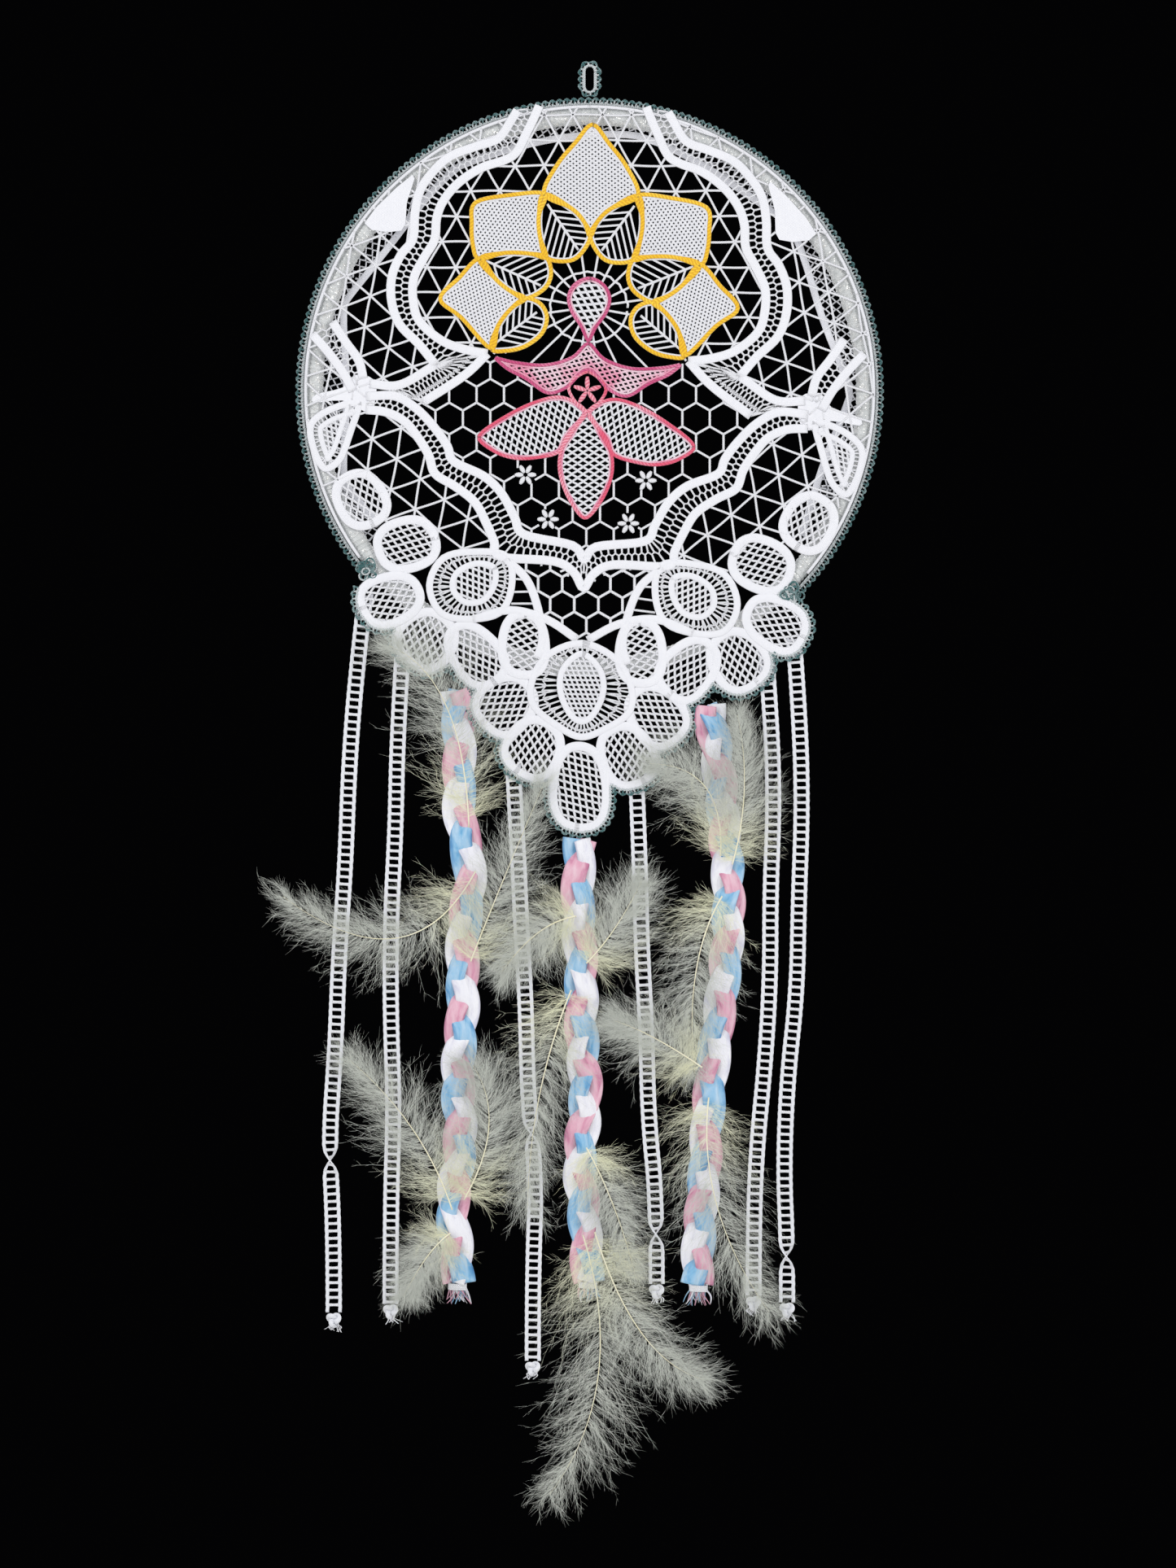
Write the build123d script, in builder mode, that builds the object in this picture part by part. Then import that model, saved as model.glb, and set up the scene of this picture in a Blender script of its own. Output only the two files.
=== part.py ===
"""Lace dream catcher: a wound hoop with a tape-lace panel, hanging tapes, braids and feathers.

Millimetres.  X runs to the right as seen from the front, Z runs up and the front faces -Y.
The origin is the top of the hanging loop's eye, where the loop sits on its hook.
"""
import os
from math import acos, atan2, ceil, cos, dist, pi, radians, sin, sqrt, tan

from build123d import *

# ---------------------------------------------------------------- driving sizes
hoop_radius = 165.0          # centre line of the wound hoop
hoop_tube = 6.0              # half the width of the hoop with its winding
hoop_sides = 6               # flats left by the winding round the tube
fit_gap = 0.3                # clearance between soft pieces

edging_thickness = 1.7       # crochet wall that laps the hoop's rim
edging_width = 2.5           # picot flange outside the wall
edging_depth = 2.0           # flange from front to back
edging_left = 219.0          # degrees, where the edging leaves the hoop on the left
edging_right = -45.0         # degrees, where it leaves the hoop on the right

eye_width = 5.6              # opening of the hanging loop
eye_height = 14.4
loop_band = 4.2              # crochet band round the opening
loop_thickness = 2.6
loop_gap = 0.5               # between the loop's foot and the edging, so that it can fold over

lace_ply = 0.4               # one layer of thread
pattern_grid = 165.0         # squares from the middle of the lace draft to the hoop's centre line
strip_width = 5.0            # woven strips of the ladder tapes in the panel
rung_width = 1.1             # thread pairs that cross between two strips
rung_step = 22.0             # draft squares from one rung to the next
fan_strip_width = 3.5        # strips of the rayed forms
bar_width = 1.2              # plaited bars of the open grounds
gimp_width = 2.6             # coloured outline threads
leaf_edge = 1.5              # woven edge of a veined leaf
rib_turn = 0.9               # radians between a leaf's midrib and its side ribs
rib_reach = 13.0
triangle_pitch = 38.0        # stars of the open ground
comb_apothem = 12.5          # cells of the honeycomb ground
rim_width = 1.6              # lace selvedge under the edging
spoke_length = 24.0          # bars that tie the selvedge to the lace
fold_band = 17.0             # lace turned back behind the hoop, and its lobes
lobe_reach = 7.0
lobe_spread = 16.0
lobe_turns = 4.5

lean_middle = 0.040          # the panel sags to the right, more so at the bottom
lean_change = 0.00017
drift_middle = -1.4
drift_change = 0.0192

tape_width = 9.8             # hanging ladder tapes
tape_thickness = 1.0
knot_length = 13.0
knot_width = 8.5
knot_depth = 5.0
knot_chamfer = 1.4

arc_share = 0.32             # part of a run that the bends at its two ends take

braid_width = 18.0
braid_thickness = 6.0
tie_length = 14.0
tie_width = 15.0
tie_depth = 5.5
tie_chamfer = 1.2

feather_thickness = 1.5
quill_width = 1.4
quill_height = 0.5

# ---------------------------------------------------------------- places that follow
hoop_outer = hoop_radius + hoop_tube
wall_inner = hoop_outer + fit_gap
wall_outer = wall_inner + edging_thickness
flange_outer = wall_outer + edging_width
hoop_middle = -(eye_height + loop_band + loop_gap + flange_outer)
lace_scale = hoop_radius / pattern_grid
lace_limit = wall_inner - fit_gap

lace_back = hoop_tube + 0.2
edge_front = lace_back + lace_ply
ground_front = edge_front + lace_ply
tape_front = ground_front + lace_ply
gimp_front = tape_front + lace_ply

os.makedirs("parts", exist_ok=True)


# ---------------------------------------------------------------- helpers
def layer(front):
    """Plane of a lace layer, facing the viewer, with the hoop's middle as its own origin."""
    return Plane(origin=(0, -front, hoop_middle), x_dir=(1, 0, 0), z_dir=(0, -1, 0))


def hung(points):
    """Places pattern points as the panel hangs, leaning and drifting a little to one side."""
    placed = []
    for x, z in points:
        lean = lean_middle - lean_change * z
        drift = drift_middle + drift_change * z
        placed.append((lace_scale * (x + drift), lace_scale * (z - lean * x)))
    return placed


def across(points):
    """Pattern points carried over to the other half of the panel."""
    return [(-x, z) for x, z in points]


def whole(points):
    """Closed outline of a form on the middle line, from the points of its left half."""
    inner = points[1:-1] if points[-1][0] == 0 else points[1:]
    return points + across(inner)[::-1]


def unit(start, end):
    """Direction from one point to the next."""
    length = dist(start, end)
    return ((end[0] - start[0]) / length, (end[1] - start[1]) / length)


def beside(points, step, closed=False):
    """Line beside another at a set distance, with mitred corners."""
    count = len(points)
    shifted = []
    for index, point in enumerate(points):
        before = unit(points[index - 1], point) if closed or index > 0 else None
        after = unit(point, points[(index + 1) % count]) if closed or index < count - 1 else None
        before = before or after
        after = after or before
        normal = (-before[1] - after[1], before[0] + after[0])
        stretch = step / max(1 + before[0] * after[0] + before[1] * after[1], 0.4)
        shifted.append((point[0] + normal[0] * stretch, point[1] + normal[1] * stretch))
    return shifted


def filled(points):
    """Face inside an outline of points."""
    with BuildSketch(mode=Mode.PRIVATE) as form:
        Polygon(*points, align=None)
    return form.sketch


def band(points, width, closed=False):
    """Face of a flat strip of even width along a line of points."""
    one = beside(points, width / 2, closed)
    other = beside(points, -width / 2, closed)
    if not closed:
        return filled(one + other[::-1])
    faces = sorted([filled(one), filled(other)], key=lambda face: face.area)
    with BuildSketch(mode=Mode.PRIVATE) as ring:
        add(faces[1])
        add(faces[0], mode=Mode.SUBTRACT)
    return ring.sketch


def lining(points, width):
    """Face of a strip that lies just inside a closed outline."""
    sides = [filled(beside(points, step, True)) for step in (width, -width)]
    with BuildSketch(mode=Mode.PRIVATE) as ring:
        add(filled(points))
        add(min(sides, key=lambda face: face.area), mode=Mode.SUBTRACT)
    return ring.sketch


def stations(points, count):
    """Evenly spaced points along a line, its two ends included."""
    lengths = [dist(a, b) for a, b in zip(points, points[1:])]
    step = sum(lengths) / (count - 1)
    marks = [points[0]]
    walked = 0.0
    for (a, b), length in zip(zip(points, points[1:]), lengths):
        while len(marks) < count - 1 and len(marks) * step <= walked + length:
            share = (len(marks) * step - walked) / length
            marks.append((a[0] + (b[0] - a[0]) * share, a[1] + (b[1] - a[1]) * share))
        walked += length
    return marks + [points[-1]]


def zigzag(one, other):
    """Rungs that run to and fro between two strips."""
    length = sum(dist(a, b) for a, b in zip(one, one[1:])) / lace_scale
    count = max(5, round(length / rung_step) + 1)
    pairs = zip(stations(one, count), stations(other, count))
    turns = [pair[index % 2] for index, pair in enumerate(pairs)]
    return band(turns, rung_width)


def oval(middle, half_width, half_height, corners=8):
    """Outline of a rounded lobe."""
    steps = [2 * pi * index / corners + pi / 2 for index in range(corners)]
    return [(middle[0] + half_width * cos(a), middle[1] + half_height * sin(a)) for a in steps]


def capsule(width, height, corners=10):
    """Outline of an upright slot with rounded ends."""
    straight = (height - width) / 2
    ends = oval((0, 0), width / 2 / cos(pi / corners), width / 2, corners)
    return [(x, z + (straight if z > 0 else -straight)) for x, z in ends]


def arc_points(radius, start, stop, count):
    """Points on a circle round the hoop's middle, angles in degrees."""
    turns = [radians(start + (stop - start) * index / (count - 1)) for index in range(count)]
    return [(radius * cos(turn), radius * sin(turn)) for turn in turns]


def star_bars(place, reach):
    """Three crossing families of parallel bars that meet in six-armed stars round a place in the draft."""
    middle = hung([place])[0]
    span = reach * lace_scale
    row = triangle_pitch * sqrt(3) / 2
    rows = 2 * ceil(span / row / 2) + 1
    with BuildSketch(mode=Mode.PRIVATE) as net:
        for turn in (0, 60, 120):
            with Locations(Location((middle[0], middle[1], 0), (0, 0, turn))):
                with GridLocations(1, row, 1, rows):
                    Rectangle(2 * span, bar_width)
    return net.sketch


def comb(region, place):
    """Honeycomb net that fills a region, with a cell's middle at a place in the draft."""
    room = region.bounding_box().size
    columns = 2 * ceil(room.X / comb_apothem / 4) + 3
    rows = 2 * ceil(room.Y / comb_apothem / sqrt(3) / 2) + 3
    with BuildSketch(mode=Mode.PRIVATE) as net:
        add(region)
        with Locations(hung([place])[0]):
            with HexLocations(comb_apothem, columns, rows):
                RegularPolygon(comb_apothem - bar_width / 2, 6, major_radius=False, mode=Mode.SUBTRACT)
    return net.sketch


def turning_radii(route):
    """Radius of the bend at each inner point of a hanging strand's route."""
    radii = []
    for before, point, after in zip(route, route[1:], route[2:]):
        one, two = unit(before, point), unit(point, after)
        turn = acos(max(-1.0, min(1.0, one[0] * two[0] + one[1] * two[1])))
        run = min(dist(before, point), dist(point, after))
        radii.append(arc_share * run / tan(turn / 2))
    return radii


# ---------------------------------------------------------------- lace pattern, left half
upper_outer = [(-48, 162), (-56, 150), (-69, 145), (-84, 139), (-94, 130), (-102, 118), (-105, 104),
               (-106, 88), (-113, 78), (-118, 65), (-118, 50), (-113, 36), (-101, 24), (-91, 12)]
upper_inner = [(-34, 165), (-39, 154), (-45, 142), (-52, 137), (-66, 132), (-79, 123), (-88, 112),
               (-92, 101), (-93, 88), (-99, 77), (-105, 64), (-105, 50), (-101, 38), (-88, 27), (-74, 22),
               (-60, 20)]
notch_outer = [(-91, 12), (-112, -1), (-130, -1)]
notch_inner = [(-60, 20), (-74, 6), (-98, -11)]
lower_inner = [(-132, -9), (-115, -8), (-102, -15), (-91, -26), (-83, -37), (-79, -46), (-61, -54),
               (-50, -64), (-42, -78), (-36, -88), (-7, -93), (0, -101)]
lower_outer = [(-132, -17), (-120, -18), (-109, -23), (-101, -32), (-94, -43), (-90, -54), (-78, -61),
               (-66, -70), (-59, -82), (-54, -93), (-50, -102), (-18, -103), (-6, -109), (0, -118)]
side_inner = [(-153, 36), (-145, 24), (-137, 13), (-134, 2)]
side_outer = [(-165, 28), (-155, 17), (-146, 5), (-140, -6)]
gusset = [(-107, 127), (-135, 97), (-113, 93), (-110, 110)]
hoop_leaf = [(-135, -12), (-152, -15), (-166, -26), (-165, -42), (-157, -56), (-146, -50), (-139, -31)]

petal_top = [(0, 159), (-10, 148), (-21, 134), (-28, 117), (-12, 109), (-4, 101), (0, 92)]
leaf_high = [(-28, 117), (-31, 104), (-30, 91), (-26, 79), (-14, 77), (-6, 81), (0, 92), (-4, 101),
             (-12, 109)]
square_high = [(-28, 117), (-48, 116), (-69, 111), (-71, 98), (-70, 85), (-66, 77), (-51, 81), (-36, 81),
               (-26, 79), (-30, 91), (-31, 104)]
leaf_mid = [(-66, 77), (-51, 81), (-36, 81), (-26, 79), (-23, 69), (-27, 60), (-38, 54), (-47, 58),
            (-56, 65)]
square_low = [(-66, 77), (-78, 65), (-89, 52), (-76, 41), (-58, 23), (-54, 37), (-46, 48), (-38, 54),
              (-47, 58), (-56, 65)]
leaf_low = [(-58, 23), (-54, 37), (-46, 48), (-38, 54), (-29, 51), (-25, 43), (-28, 33), (-38, 25),
            (-49, 22)]
leaf_ribs = [(leaf_high, (-26, 111), (-7, 84)), (leaf_mid, (-62, 76), (-29, 62)),
             (leaf_low, (-56, 26), (-31, 46))]

teardrop = [(0, 68), (-9, 64), (-13, 56), (-11, 47), (-5, 38), (0, 29)]
crescent = [(0, 29), (-10, 20), (-26, 15), (-44, 16), (-56, 18), (-49, 11), (-37, 5), (-24, -3), (-12, 1),
            (0, 12)]
star = [(0, 12), (-12, 1), (0, -13)]
petal_side = [(-65, -30), (-49, -17), (-30, -7), (-14, -4), (0, -13), (-11, -28), (-16, -38), (-29, -42),
              (-43, -43), (-56, -39)]
petal_low = [(0, -13), (-11, -28), (-16, -38), (-16, -51), (-10, -66), (0, -77)]

fan_outline = [(-46, -102), (-65, -100), (-84, -105), (-92, -122), (-85, -138), (-69, -141), (-50, -136),
               (-43, -120)]
fan_ring = [(-53, -108), (-65, -106), (-77, -113), (-79, -124), (-71, -132), (-59, -130), (-52, -119)]
crest_outline = [(0, -151), (-21, -160), (-30, -177), (-28, -191), (-13, -202), (0, -207)]
crest_petal = [(0, -156), (-12, -166), (-14, -180), (-8, -194), (0, -199)]
swag = [(-48, -104), (-35, -111), (-26, -121), (-23, -135), (-12, -145), (-2, -148)]

lobes = [((-134, -72), 17, 16), ((-106, -98), 17, 14), ((-115, -133), 18, 16), ((-94, -156), 18, 18),
         ((-64, -163), 16, 18), ((-35, -152), 14, 16), ((-45, -192), 17, 18), ((-29, -218), 18, 19),
         ((0, -240), 18, 24)]
scallop_line = [(-133, -118), (-134, -131), (-129, -145), (-114, -151), (-109, -167), (-94, -176),
                (-80, -171), (-71, -182), (-56, -181), (-60, -197), (-56, -208), (-45, -212), (-46, -226),
                (-32, -239), (-18, -236), (-17, -254), (0, -266)]

# ---------------------------------------------------------------- hoop
with BuildPart() as hoop:
    with BuildSketch(Plane.XY.offset(hoop_middle)):
        with Locations((hoop_radius, 0)):
            Polygon(*oval((0, 0), hoop_tube / cos(pi / hoop_sides), hoop_tube, hoop_sides), align=None)
    revolve(axis=Axis((0, 0, hoop_middle), (0, 1, 0)))
hoop.part.label = "hoop"
export_step(hoop.part, "parts/hoop.step")

# ---------------------------------------------------------------- crochet edging on the hoop
edging_turn = radians(edging_right)
edging_plane = Plane(
    origin=(0, 0, hoop_middle),
    x_dir=(cos(edging_turn), 0, sin(edging_turn)),
    z_dir=(sin(edging_turn), 0, -cos(edging_turn)),
)
with BuildPart() as crochet_edging:
    with BuildSketch(edging_plane):
        Polygon(
            (wall_inner, -edging_depth / 2),
            (flange_outer, -edging_depth / 2),
            (flange_outer, edging_depth / 2),
            (wall_inner, tape_front),
            align=None,
        )
    revolve(axis=Axis((0, 0, hoop_middle), (0, -1, 0)), revolution_arc=edging_left - edging_right)
crochet_edging.part.label = "crochet_edging"
export_step(crochet_edging.part, "parts/crochet_edging.step")

# ---------------------------------------------------------------- hanging loop
with BuildPart() as hanging_loop:
    with BuildSketch(Plane.XZ.offset(loop_thickness / 2)):
        with Locations((0, -eye_height / 2)):
            Polygon(*capsule(eye_width + 2 * loop_band, eye_height + 2 * loop_band), align=None)
            Polygon(*capsule(eye_width, eye_height), align=None, mode=Mode.SUBTRACT)
    extrude(amount=-loop_thickness)
hanging_loop.part.label = "hanging_loop"
export_step(hanging_loop.part, "parts/hanging_loop.step")

# ---------------------------------------------------------------- upper ladder tapes and side tapes
for side, flip in (("left", list), ("right", across)):
    outer, inner = hung(flip(upper_outer)), hung(flip(upper_inner))
    notch_out, notch_in = hung(flip(notch_outer)), hung(flip(notch_inner))
    with BuildPart() as upper_tape:
        with BuildSketch(layer(tape_front)):
            add(band(outer + notch_out[1:], strip_width))
            add(band(inner + notch_in[1:], strip_width))
            add(zigzag(outer, inner))
            add(zigzag(notch_out, notch_in))
        extrude(amount=-lace_ply)
    upper_tape.part.label = f"upper_tape_{side}"
    export_step(upper_tape.part, f"parts/upper_tape_{side}.step")

    outer, inner = hung(flip(side_outer)), hung(flip(side_inner))
    with BuildPart() as side_tape:
        with BuildSketch(layer(edge_front)):
            add(band(outer, strip_width))
            add(band(inner, strip_width))
            add(zigzag(outer, inner))
            add(filled(hung(flip(hoop_leaf))))
            add(filled(hung(flip(gusset))))
        extrude(amount=-lace_ply)
    side_tape.part.label = f"side_tape_{side}"
    export_step(side_tape.part, f"parts/side_tape_{side}.step")

# ---------------------------------------------------------------- lower ladder tape
outer = hung(lower_outer + across(lower_outer)[-2::-1])
inner = hung(lower_inner + across(lower_inner)[-2::-1])
with BuildPart() as lower_tape:
    with BuildSketch(layer(tape_front)):
        add(band(outer, strip_width))
        add(band(inner, strip_width))
        add(zigzag(outer, inner))
    extrude(amount=-lace_ply)
lower_tape.part.label = "lower_tape"
export_step(lower_tape.part, "parts/lower_tape.step")

# ---------------------------------------------------------------- yellow flower
flower_squares = []
for flip in (list, across):
    flower_squares += [filled(hung(flip(square_high))), filled(hung(flip(square_low)))]
with BuildPart() as flower_petals:
    with BuildSketch(layer(tape_front)):
        add(filled(hung(whole(petal_top))))
        add(flower_squares)
    extrude(amount=-lace_ply)
flower_petals.part.label = "flower_petals"
export_step(flower_petals.part, "parts/flower_petals.step")


def veined_leaf(outline, base, tip, flip):
    """Face of a leaf: its edge, its midrib and a pair of slanted side ribs."""
    along = unit(base, tip)
    heading = atan2(along[1], along[0])
    edge = hung(flip(outline))
    with BuildSketch(mode=Mode.PRIVATE) as threads:
        add(band(hung(flip([base, tip])), bar_width))
        root = ((base[0] + tip[0]) / 2, (base[1] + tip[1]) / 2)
        for turn in (rib_turn, -rib_turn):
            end = (root[0] + rib_reach * cos(heading + turn), root[1] + rib_reach * sin(heading + turn))
            add(band(hung(flip([root, end])), bar_width))
        add(filled(edge), mode=Mode.INTERSECT)
        add(lining(edge, leaf_edge))
    return threads.sketch


with BuildPart() as flower_leaves:
    with BuildSketch(layer(ground_front)):
        add([veined_leaf(*leaf, flip) for flip in (list, across) for leaf in leaf_ribs])
    extrude(amount=-lace_ply)
flower_leaves.part.label = "flower_leaves"
export_step(flower_leaves.part, "parts/flower_leaves.step")

gimp_lines = [whole(petal_top)]
for flip in (list, across):
    gimp_lines += [flip(outline) for outline in (square_high, square_low, leaf_high, leaf_mid, leaf_low)]
with BuildPart() as yellow_outline:
    with BuildSketch(layer(gimp_front)):
        add([band(hung(line), gimp_width, closed=True) for line in gimp_lines])
    extrude(amount=-lace_ply)
yellow_outline.part.label = "yellow_outline"
export_step(yellow_outline.part, "parts/yellow_outline.step")

# ---------------------------------------------------------------- pink flower
pink_forms = [whole(teardrop), whole(star), petal_side, across(petal_side), whole(petal_low),
              whole(crescent)]
with BuildPart() as pink_petals:
    with BuildSketch(layer(tape_front)):
        add([filled(hung(form)) for form in pink_forms])
    extrude(amount=-lace_ply)
pink_petals.part.label = "pink_petals"
export_step(pink_petals.part, "parts/pink_petals.step")

with BuildPart() as pink_outline:
    with BuildSketch(layer(gimp_front)):
        add([lining(hung(form), gimp_width / 2) for form in pink_forms])
    extrude(amount=-lace_ply)
pink_outline.part.label = "pink_outline"
export_step(pink_outline.part, "parts/pink_outline.step")

# ---------------------------------------------------------------- open grounds
flower_silhouette = [filled(hung(whole(petal_top)))] + flower_squares
for flip in (list, across):
    flower_silhouette += [filled(hung(flip(form))) for form in (leaf_high, leaf_mid, leaf_low)]
pink_silhouette = [filled(hung(form)) for form in pink_forms]

top_window = [(0, 170)] + upper_inner + [(-44, 19), (-26, 16), (0, 29)]
with BuildPart() as top_ground:
    with BuildSketch(layer(ground_front)):
        add(star_bars((0, 85), 125))
        add(filled(hung(whole(top_window))), mode=Mode.INTERSECT)
        add(flower_silhouette, mode=Mode.SUBTRACT)
        add(pink_silhouette, mode=Mode.SUBTRACT)
    extrude(amount=-lace_ply)
top_ground.part.label = "top_ground"
export_step(top_ground.part, "parts/top_ground.step")

side_window = upper_outer[2:] + notch_outer[1:] + side_inner[::-1] + [(-153, 62), (-150, 78), (-140, 96),
               (-105, 128)]
low_window = lower_outer[:11] + [(-64, -108), (-85, -103), (-104, -98), (-126, -84), (-140, -60),
              (-139, -31), (-137, -12)]
for side, flip, angles in (("left", list, (122, 215)), ("right", across, (58, -38))):
    rim = arc_points(lace_limit - rim_width / 2, *angles, 19)
    spoke_feet = arc_points(lace_limit - spoke_length, *angles, 19)
    with BuildSketch(mode=Mode.PRIVATE) as net:
        add(star_bars(*flip([(-122, 3)]), 150))
        add([filled(hung(flip(side_window))), filled(hung(flip(low_window)))], mode=Mode.INTERSECT)
    with BuildPart() as side_ground:
        with BuildSketch(layer(ground_front)):
            add(band(rim, rim_width))
            for foot, head in list(zip(spoke_feet, rim))[1:-1:3]:
                add(band([foot, head], bar_width))
            add(net.sketch)
        extrude(amount=-lace_ply)
    side_ground.part.label = f"side_ground_{side}"
    export_step(side_ground.part, f"parts/side_ground_{side}.step")

middle_window = [(0, 12), (-12, 1), (-37, 5), (-60, 20)] + notch_inner[1:] + lower_inner[1:]
with BuildPart() as middle_ground:
    with BuildSketch(layer(ground_front)):
        add(comb(filled(hung(whole(middle_window))), (0, -45)))
        add(pink_silhouette, mode=Mode.SUBTRACT)
    extrude(amount=-lace_ply)
middle_ground.part.label = "middle_ground"
export_step(middle_ground.part, "parts/middle_ground.step")

with BuildPart() as bottom_ground:
    with BuildSketch(layer(ground_front)):
        add(comb(filled(hung(whole([(0, -118), (-18, -103)] + swag))), (0, -128)))
    extrude(amount=-lace_ply)
bottom_ground.part.label = "bottom_ground"
export_step(bottom_ground.part, "parts/bottom_ground.step")

# ---------------------------------------------------------------- fan leaves and scalloped edge
for side, flip in (("left", list), ("right", across)):
    outline, ring = hung(flip(fan_outline)), hung(flip(fan_ring))
    with BuildPart() as fan_leaf:
        with BuildSketch(layer(gimp_front)):
            add(band(outline, fan_strip_width, closed=True))
            add(filled(ring))
            add(zigzag(outline + outline[:1], ring + ring[:1]))
            add(band(hung(flip(swag)), fan_strip_width))
        extrude(amount=-lace_ply)
    fan_leaf.part.label = f"fan_leaf_{side}"
    export_step(fan_leaf.part, f"parts/fan_leaf_{side}.step")

outline, petal = hung(whole(crest_outline)), hung(whole(crest_petal))
with BuildPart() as bottom_fan:
    with BuildSketch(layer(ground_front)):
        add(band(outline, fan_strip_width, closed=True))
        add(filled(petal))
        add(zigzag(outline, petal))
    extrude(amount=-lace_ply)
bottom_fan.part.label = "bottom_fan"
export_step(bottom_fan.part, "parts/bottom_fan.step")

with BuildPart() as edge_scallops:
    with BuildSketch(layer(edge_front)):
        for flip in (list, across):
            for middle, half_width, half_height in lobes:
                add(filled(hung(flip(oval(middle, half_width, half_height)))))
    extrude(amount=-lace_ply)
edge_scallops.part.label = "edge_scallops"
export_step(edge_scallops.part, "parts/edge_scallops.step")

with BuildPart() as scallop_edging:
    with BuildSketch(layer(tape_front)):
        add(band(hung(scallop_line + across(scallop_line)[-2::-1]), edging_width))
    extrude(amount=-2 * lace_ply)
scallop_edging.part.label = "scallop_edging"
export_step(scallop_edging.part, "parts/scallop_edging.step")

# ---------------------------------------------------------------- lace turned back behind the hoop
fold_steps = [radians(-34 + 8 * index) for index in range(32)]
fold_outer = [(lace_limit * cos(turn), lace_limit * sin(turn)) for turn in fold_steps]
fold_inner = []
for turn in fold_steps:
    lobe = (lobe_reach + lobe_spread * cos(turn) ** 2) * abs(sin(lobe_turns * turn))
    reach = lace_limit - fold_band - lobe
    fold_inner.append((reach * cos(turn), reach * sin(turn)))
with BuildPart() as back_fold:
    with BuildSketch(layer(-lace_back)):
        Polygon(*(fold_outer + fold_inner[::-1]), align=None)
    extrude(amount=-2 * lace_ply)
back_fold.part.label = "back_fold"
export_step(back_fold.part, "parts/back_fold.step")

# ---------------------------------------------------------------- hanging ladder tapes
tape_middle = lace_back - fit_gap - tape_thickness / 2
tape_tops = [(-134, -121), (-112, -158), (-46, -222), (28, -234), (105, -151), (122, -147)]
tape_drops = [
    [(0, 0), (-6, -52), (-10, -106), (-12, -162), (-16, -218), (-18, -274), (-22, -328), (-19, -380),
     (-19, -430)],
    [(0, 0), (-3, -50), (-4, -104), (-7, -160), (-7, -216), (-5, -272), (-7, -330), (-7, -388)],
    [(0, 0), (3, -50), (5, -98), (8, -148), (9, -200), (14, -252), (12, -306), (12, -358)],
    [(0, 0), (2, -48), (3, -98), (6, -150), (7, -200), (12, -250), (12, -300)],
    [(0, 0), (4, -52), (5, -100), (3, -150), (3, -200), (0, -250), (-5, -300), (-7, -346), (-7, -390)],
    [(0, 0), (4, -54), (5, -106), (3, -158), (2, -212), (-4, -266), (-6, -320), (-4, -362), (-4, -398)],
]


def from_top(top, drop):
    """Route of a hanging strand, from where it is sewn on."""
    left, height = top[0] * lace_scale, hoop_middle + top[1] * lace_scale
    return [(left + x, height + z) for x, z in drop]


def report_radii(label, route):
    """Prints a strand's length and the tangent arcs of its route."""
    radii = turning_radii(route)
    length = sum(dist(a, b) for a, b in zip(route, route[1:]))
    print(f"{label}: {length:.0f} mm, radii " + ", ".join(f"{radius:.0f}" for radius in radii))
    return radii


for number, (top, drop) in enumerate(zip(tape_tops, tape_drops), start=1):
    route = from_top(top, drop)
    with BuildPart() as ladder_tape:
        with BuildLine(Plane.XZ.offset(tape_middle)) as tape_path:
            FilletPolyline(*route, radius=report_radii(f"ladder_tape_{number}", route))
        with BuildSketch(Plane(origin=tape_path.line @ 0, z_dir=tape_path.line % 0, x_dir=(0, -1, 0))):
            Rectangle(tape_thickness, tape_width)
        sweep()
    ladder_tape.part.label = f"ladder_tape_{number}"
    export_step(ladder_tape.part, f"parts/ladder_tape_{number}.step")

    end_x, end_z = route[-1]
    with BuildPart() as tape_knot:
        with BuildSketch(Plane.XY.offset(end_z - knot_length / 2)):
            Polygon(*oval((end_x, -tape_middle), knot_width / 2, knot_depth / 2), align=None)
        extrude(amount=knot_length / 2, both=True)
        chamfer(tape_knot.faces().filter_by(Axis.Z).edges(), knot_chamfer)
    tape_knot.part.label = f"tape_knot_{number}"
    export_step(tape_knot.part, f"parts/tape_knot_{number}.step")

# ---------------------------------------------------------------- braids and feathers
braid_middle = (lace_back + gimp_front) / 2
braid_front = braid_middle + braid_thickness / 2
braid_tops = {"left": (-80, -181), "centre": (-5, -268), "right": (72, -188)}
braid_drops = {
    "left": [(0, 1.6), (3, -34), (2, -72), (11, -107), (3, -146), (4, -186), (0, -226), (5, -268),
             (-3, -306), (1, -332), (1, -352)],
    "centre": [(0, 0), (-2, -38), (1, -78), (-1, -118), (3, -157), (-2, -195), (4, -230), (4, -264)],
    "right": [(0, 0), (5, -36), (8, -76), (12, -120), (10, -162), (3, -203), (-2, -243), (-4, -280),
              (-7, -314), (-7, -346)],
}
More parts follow.
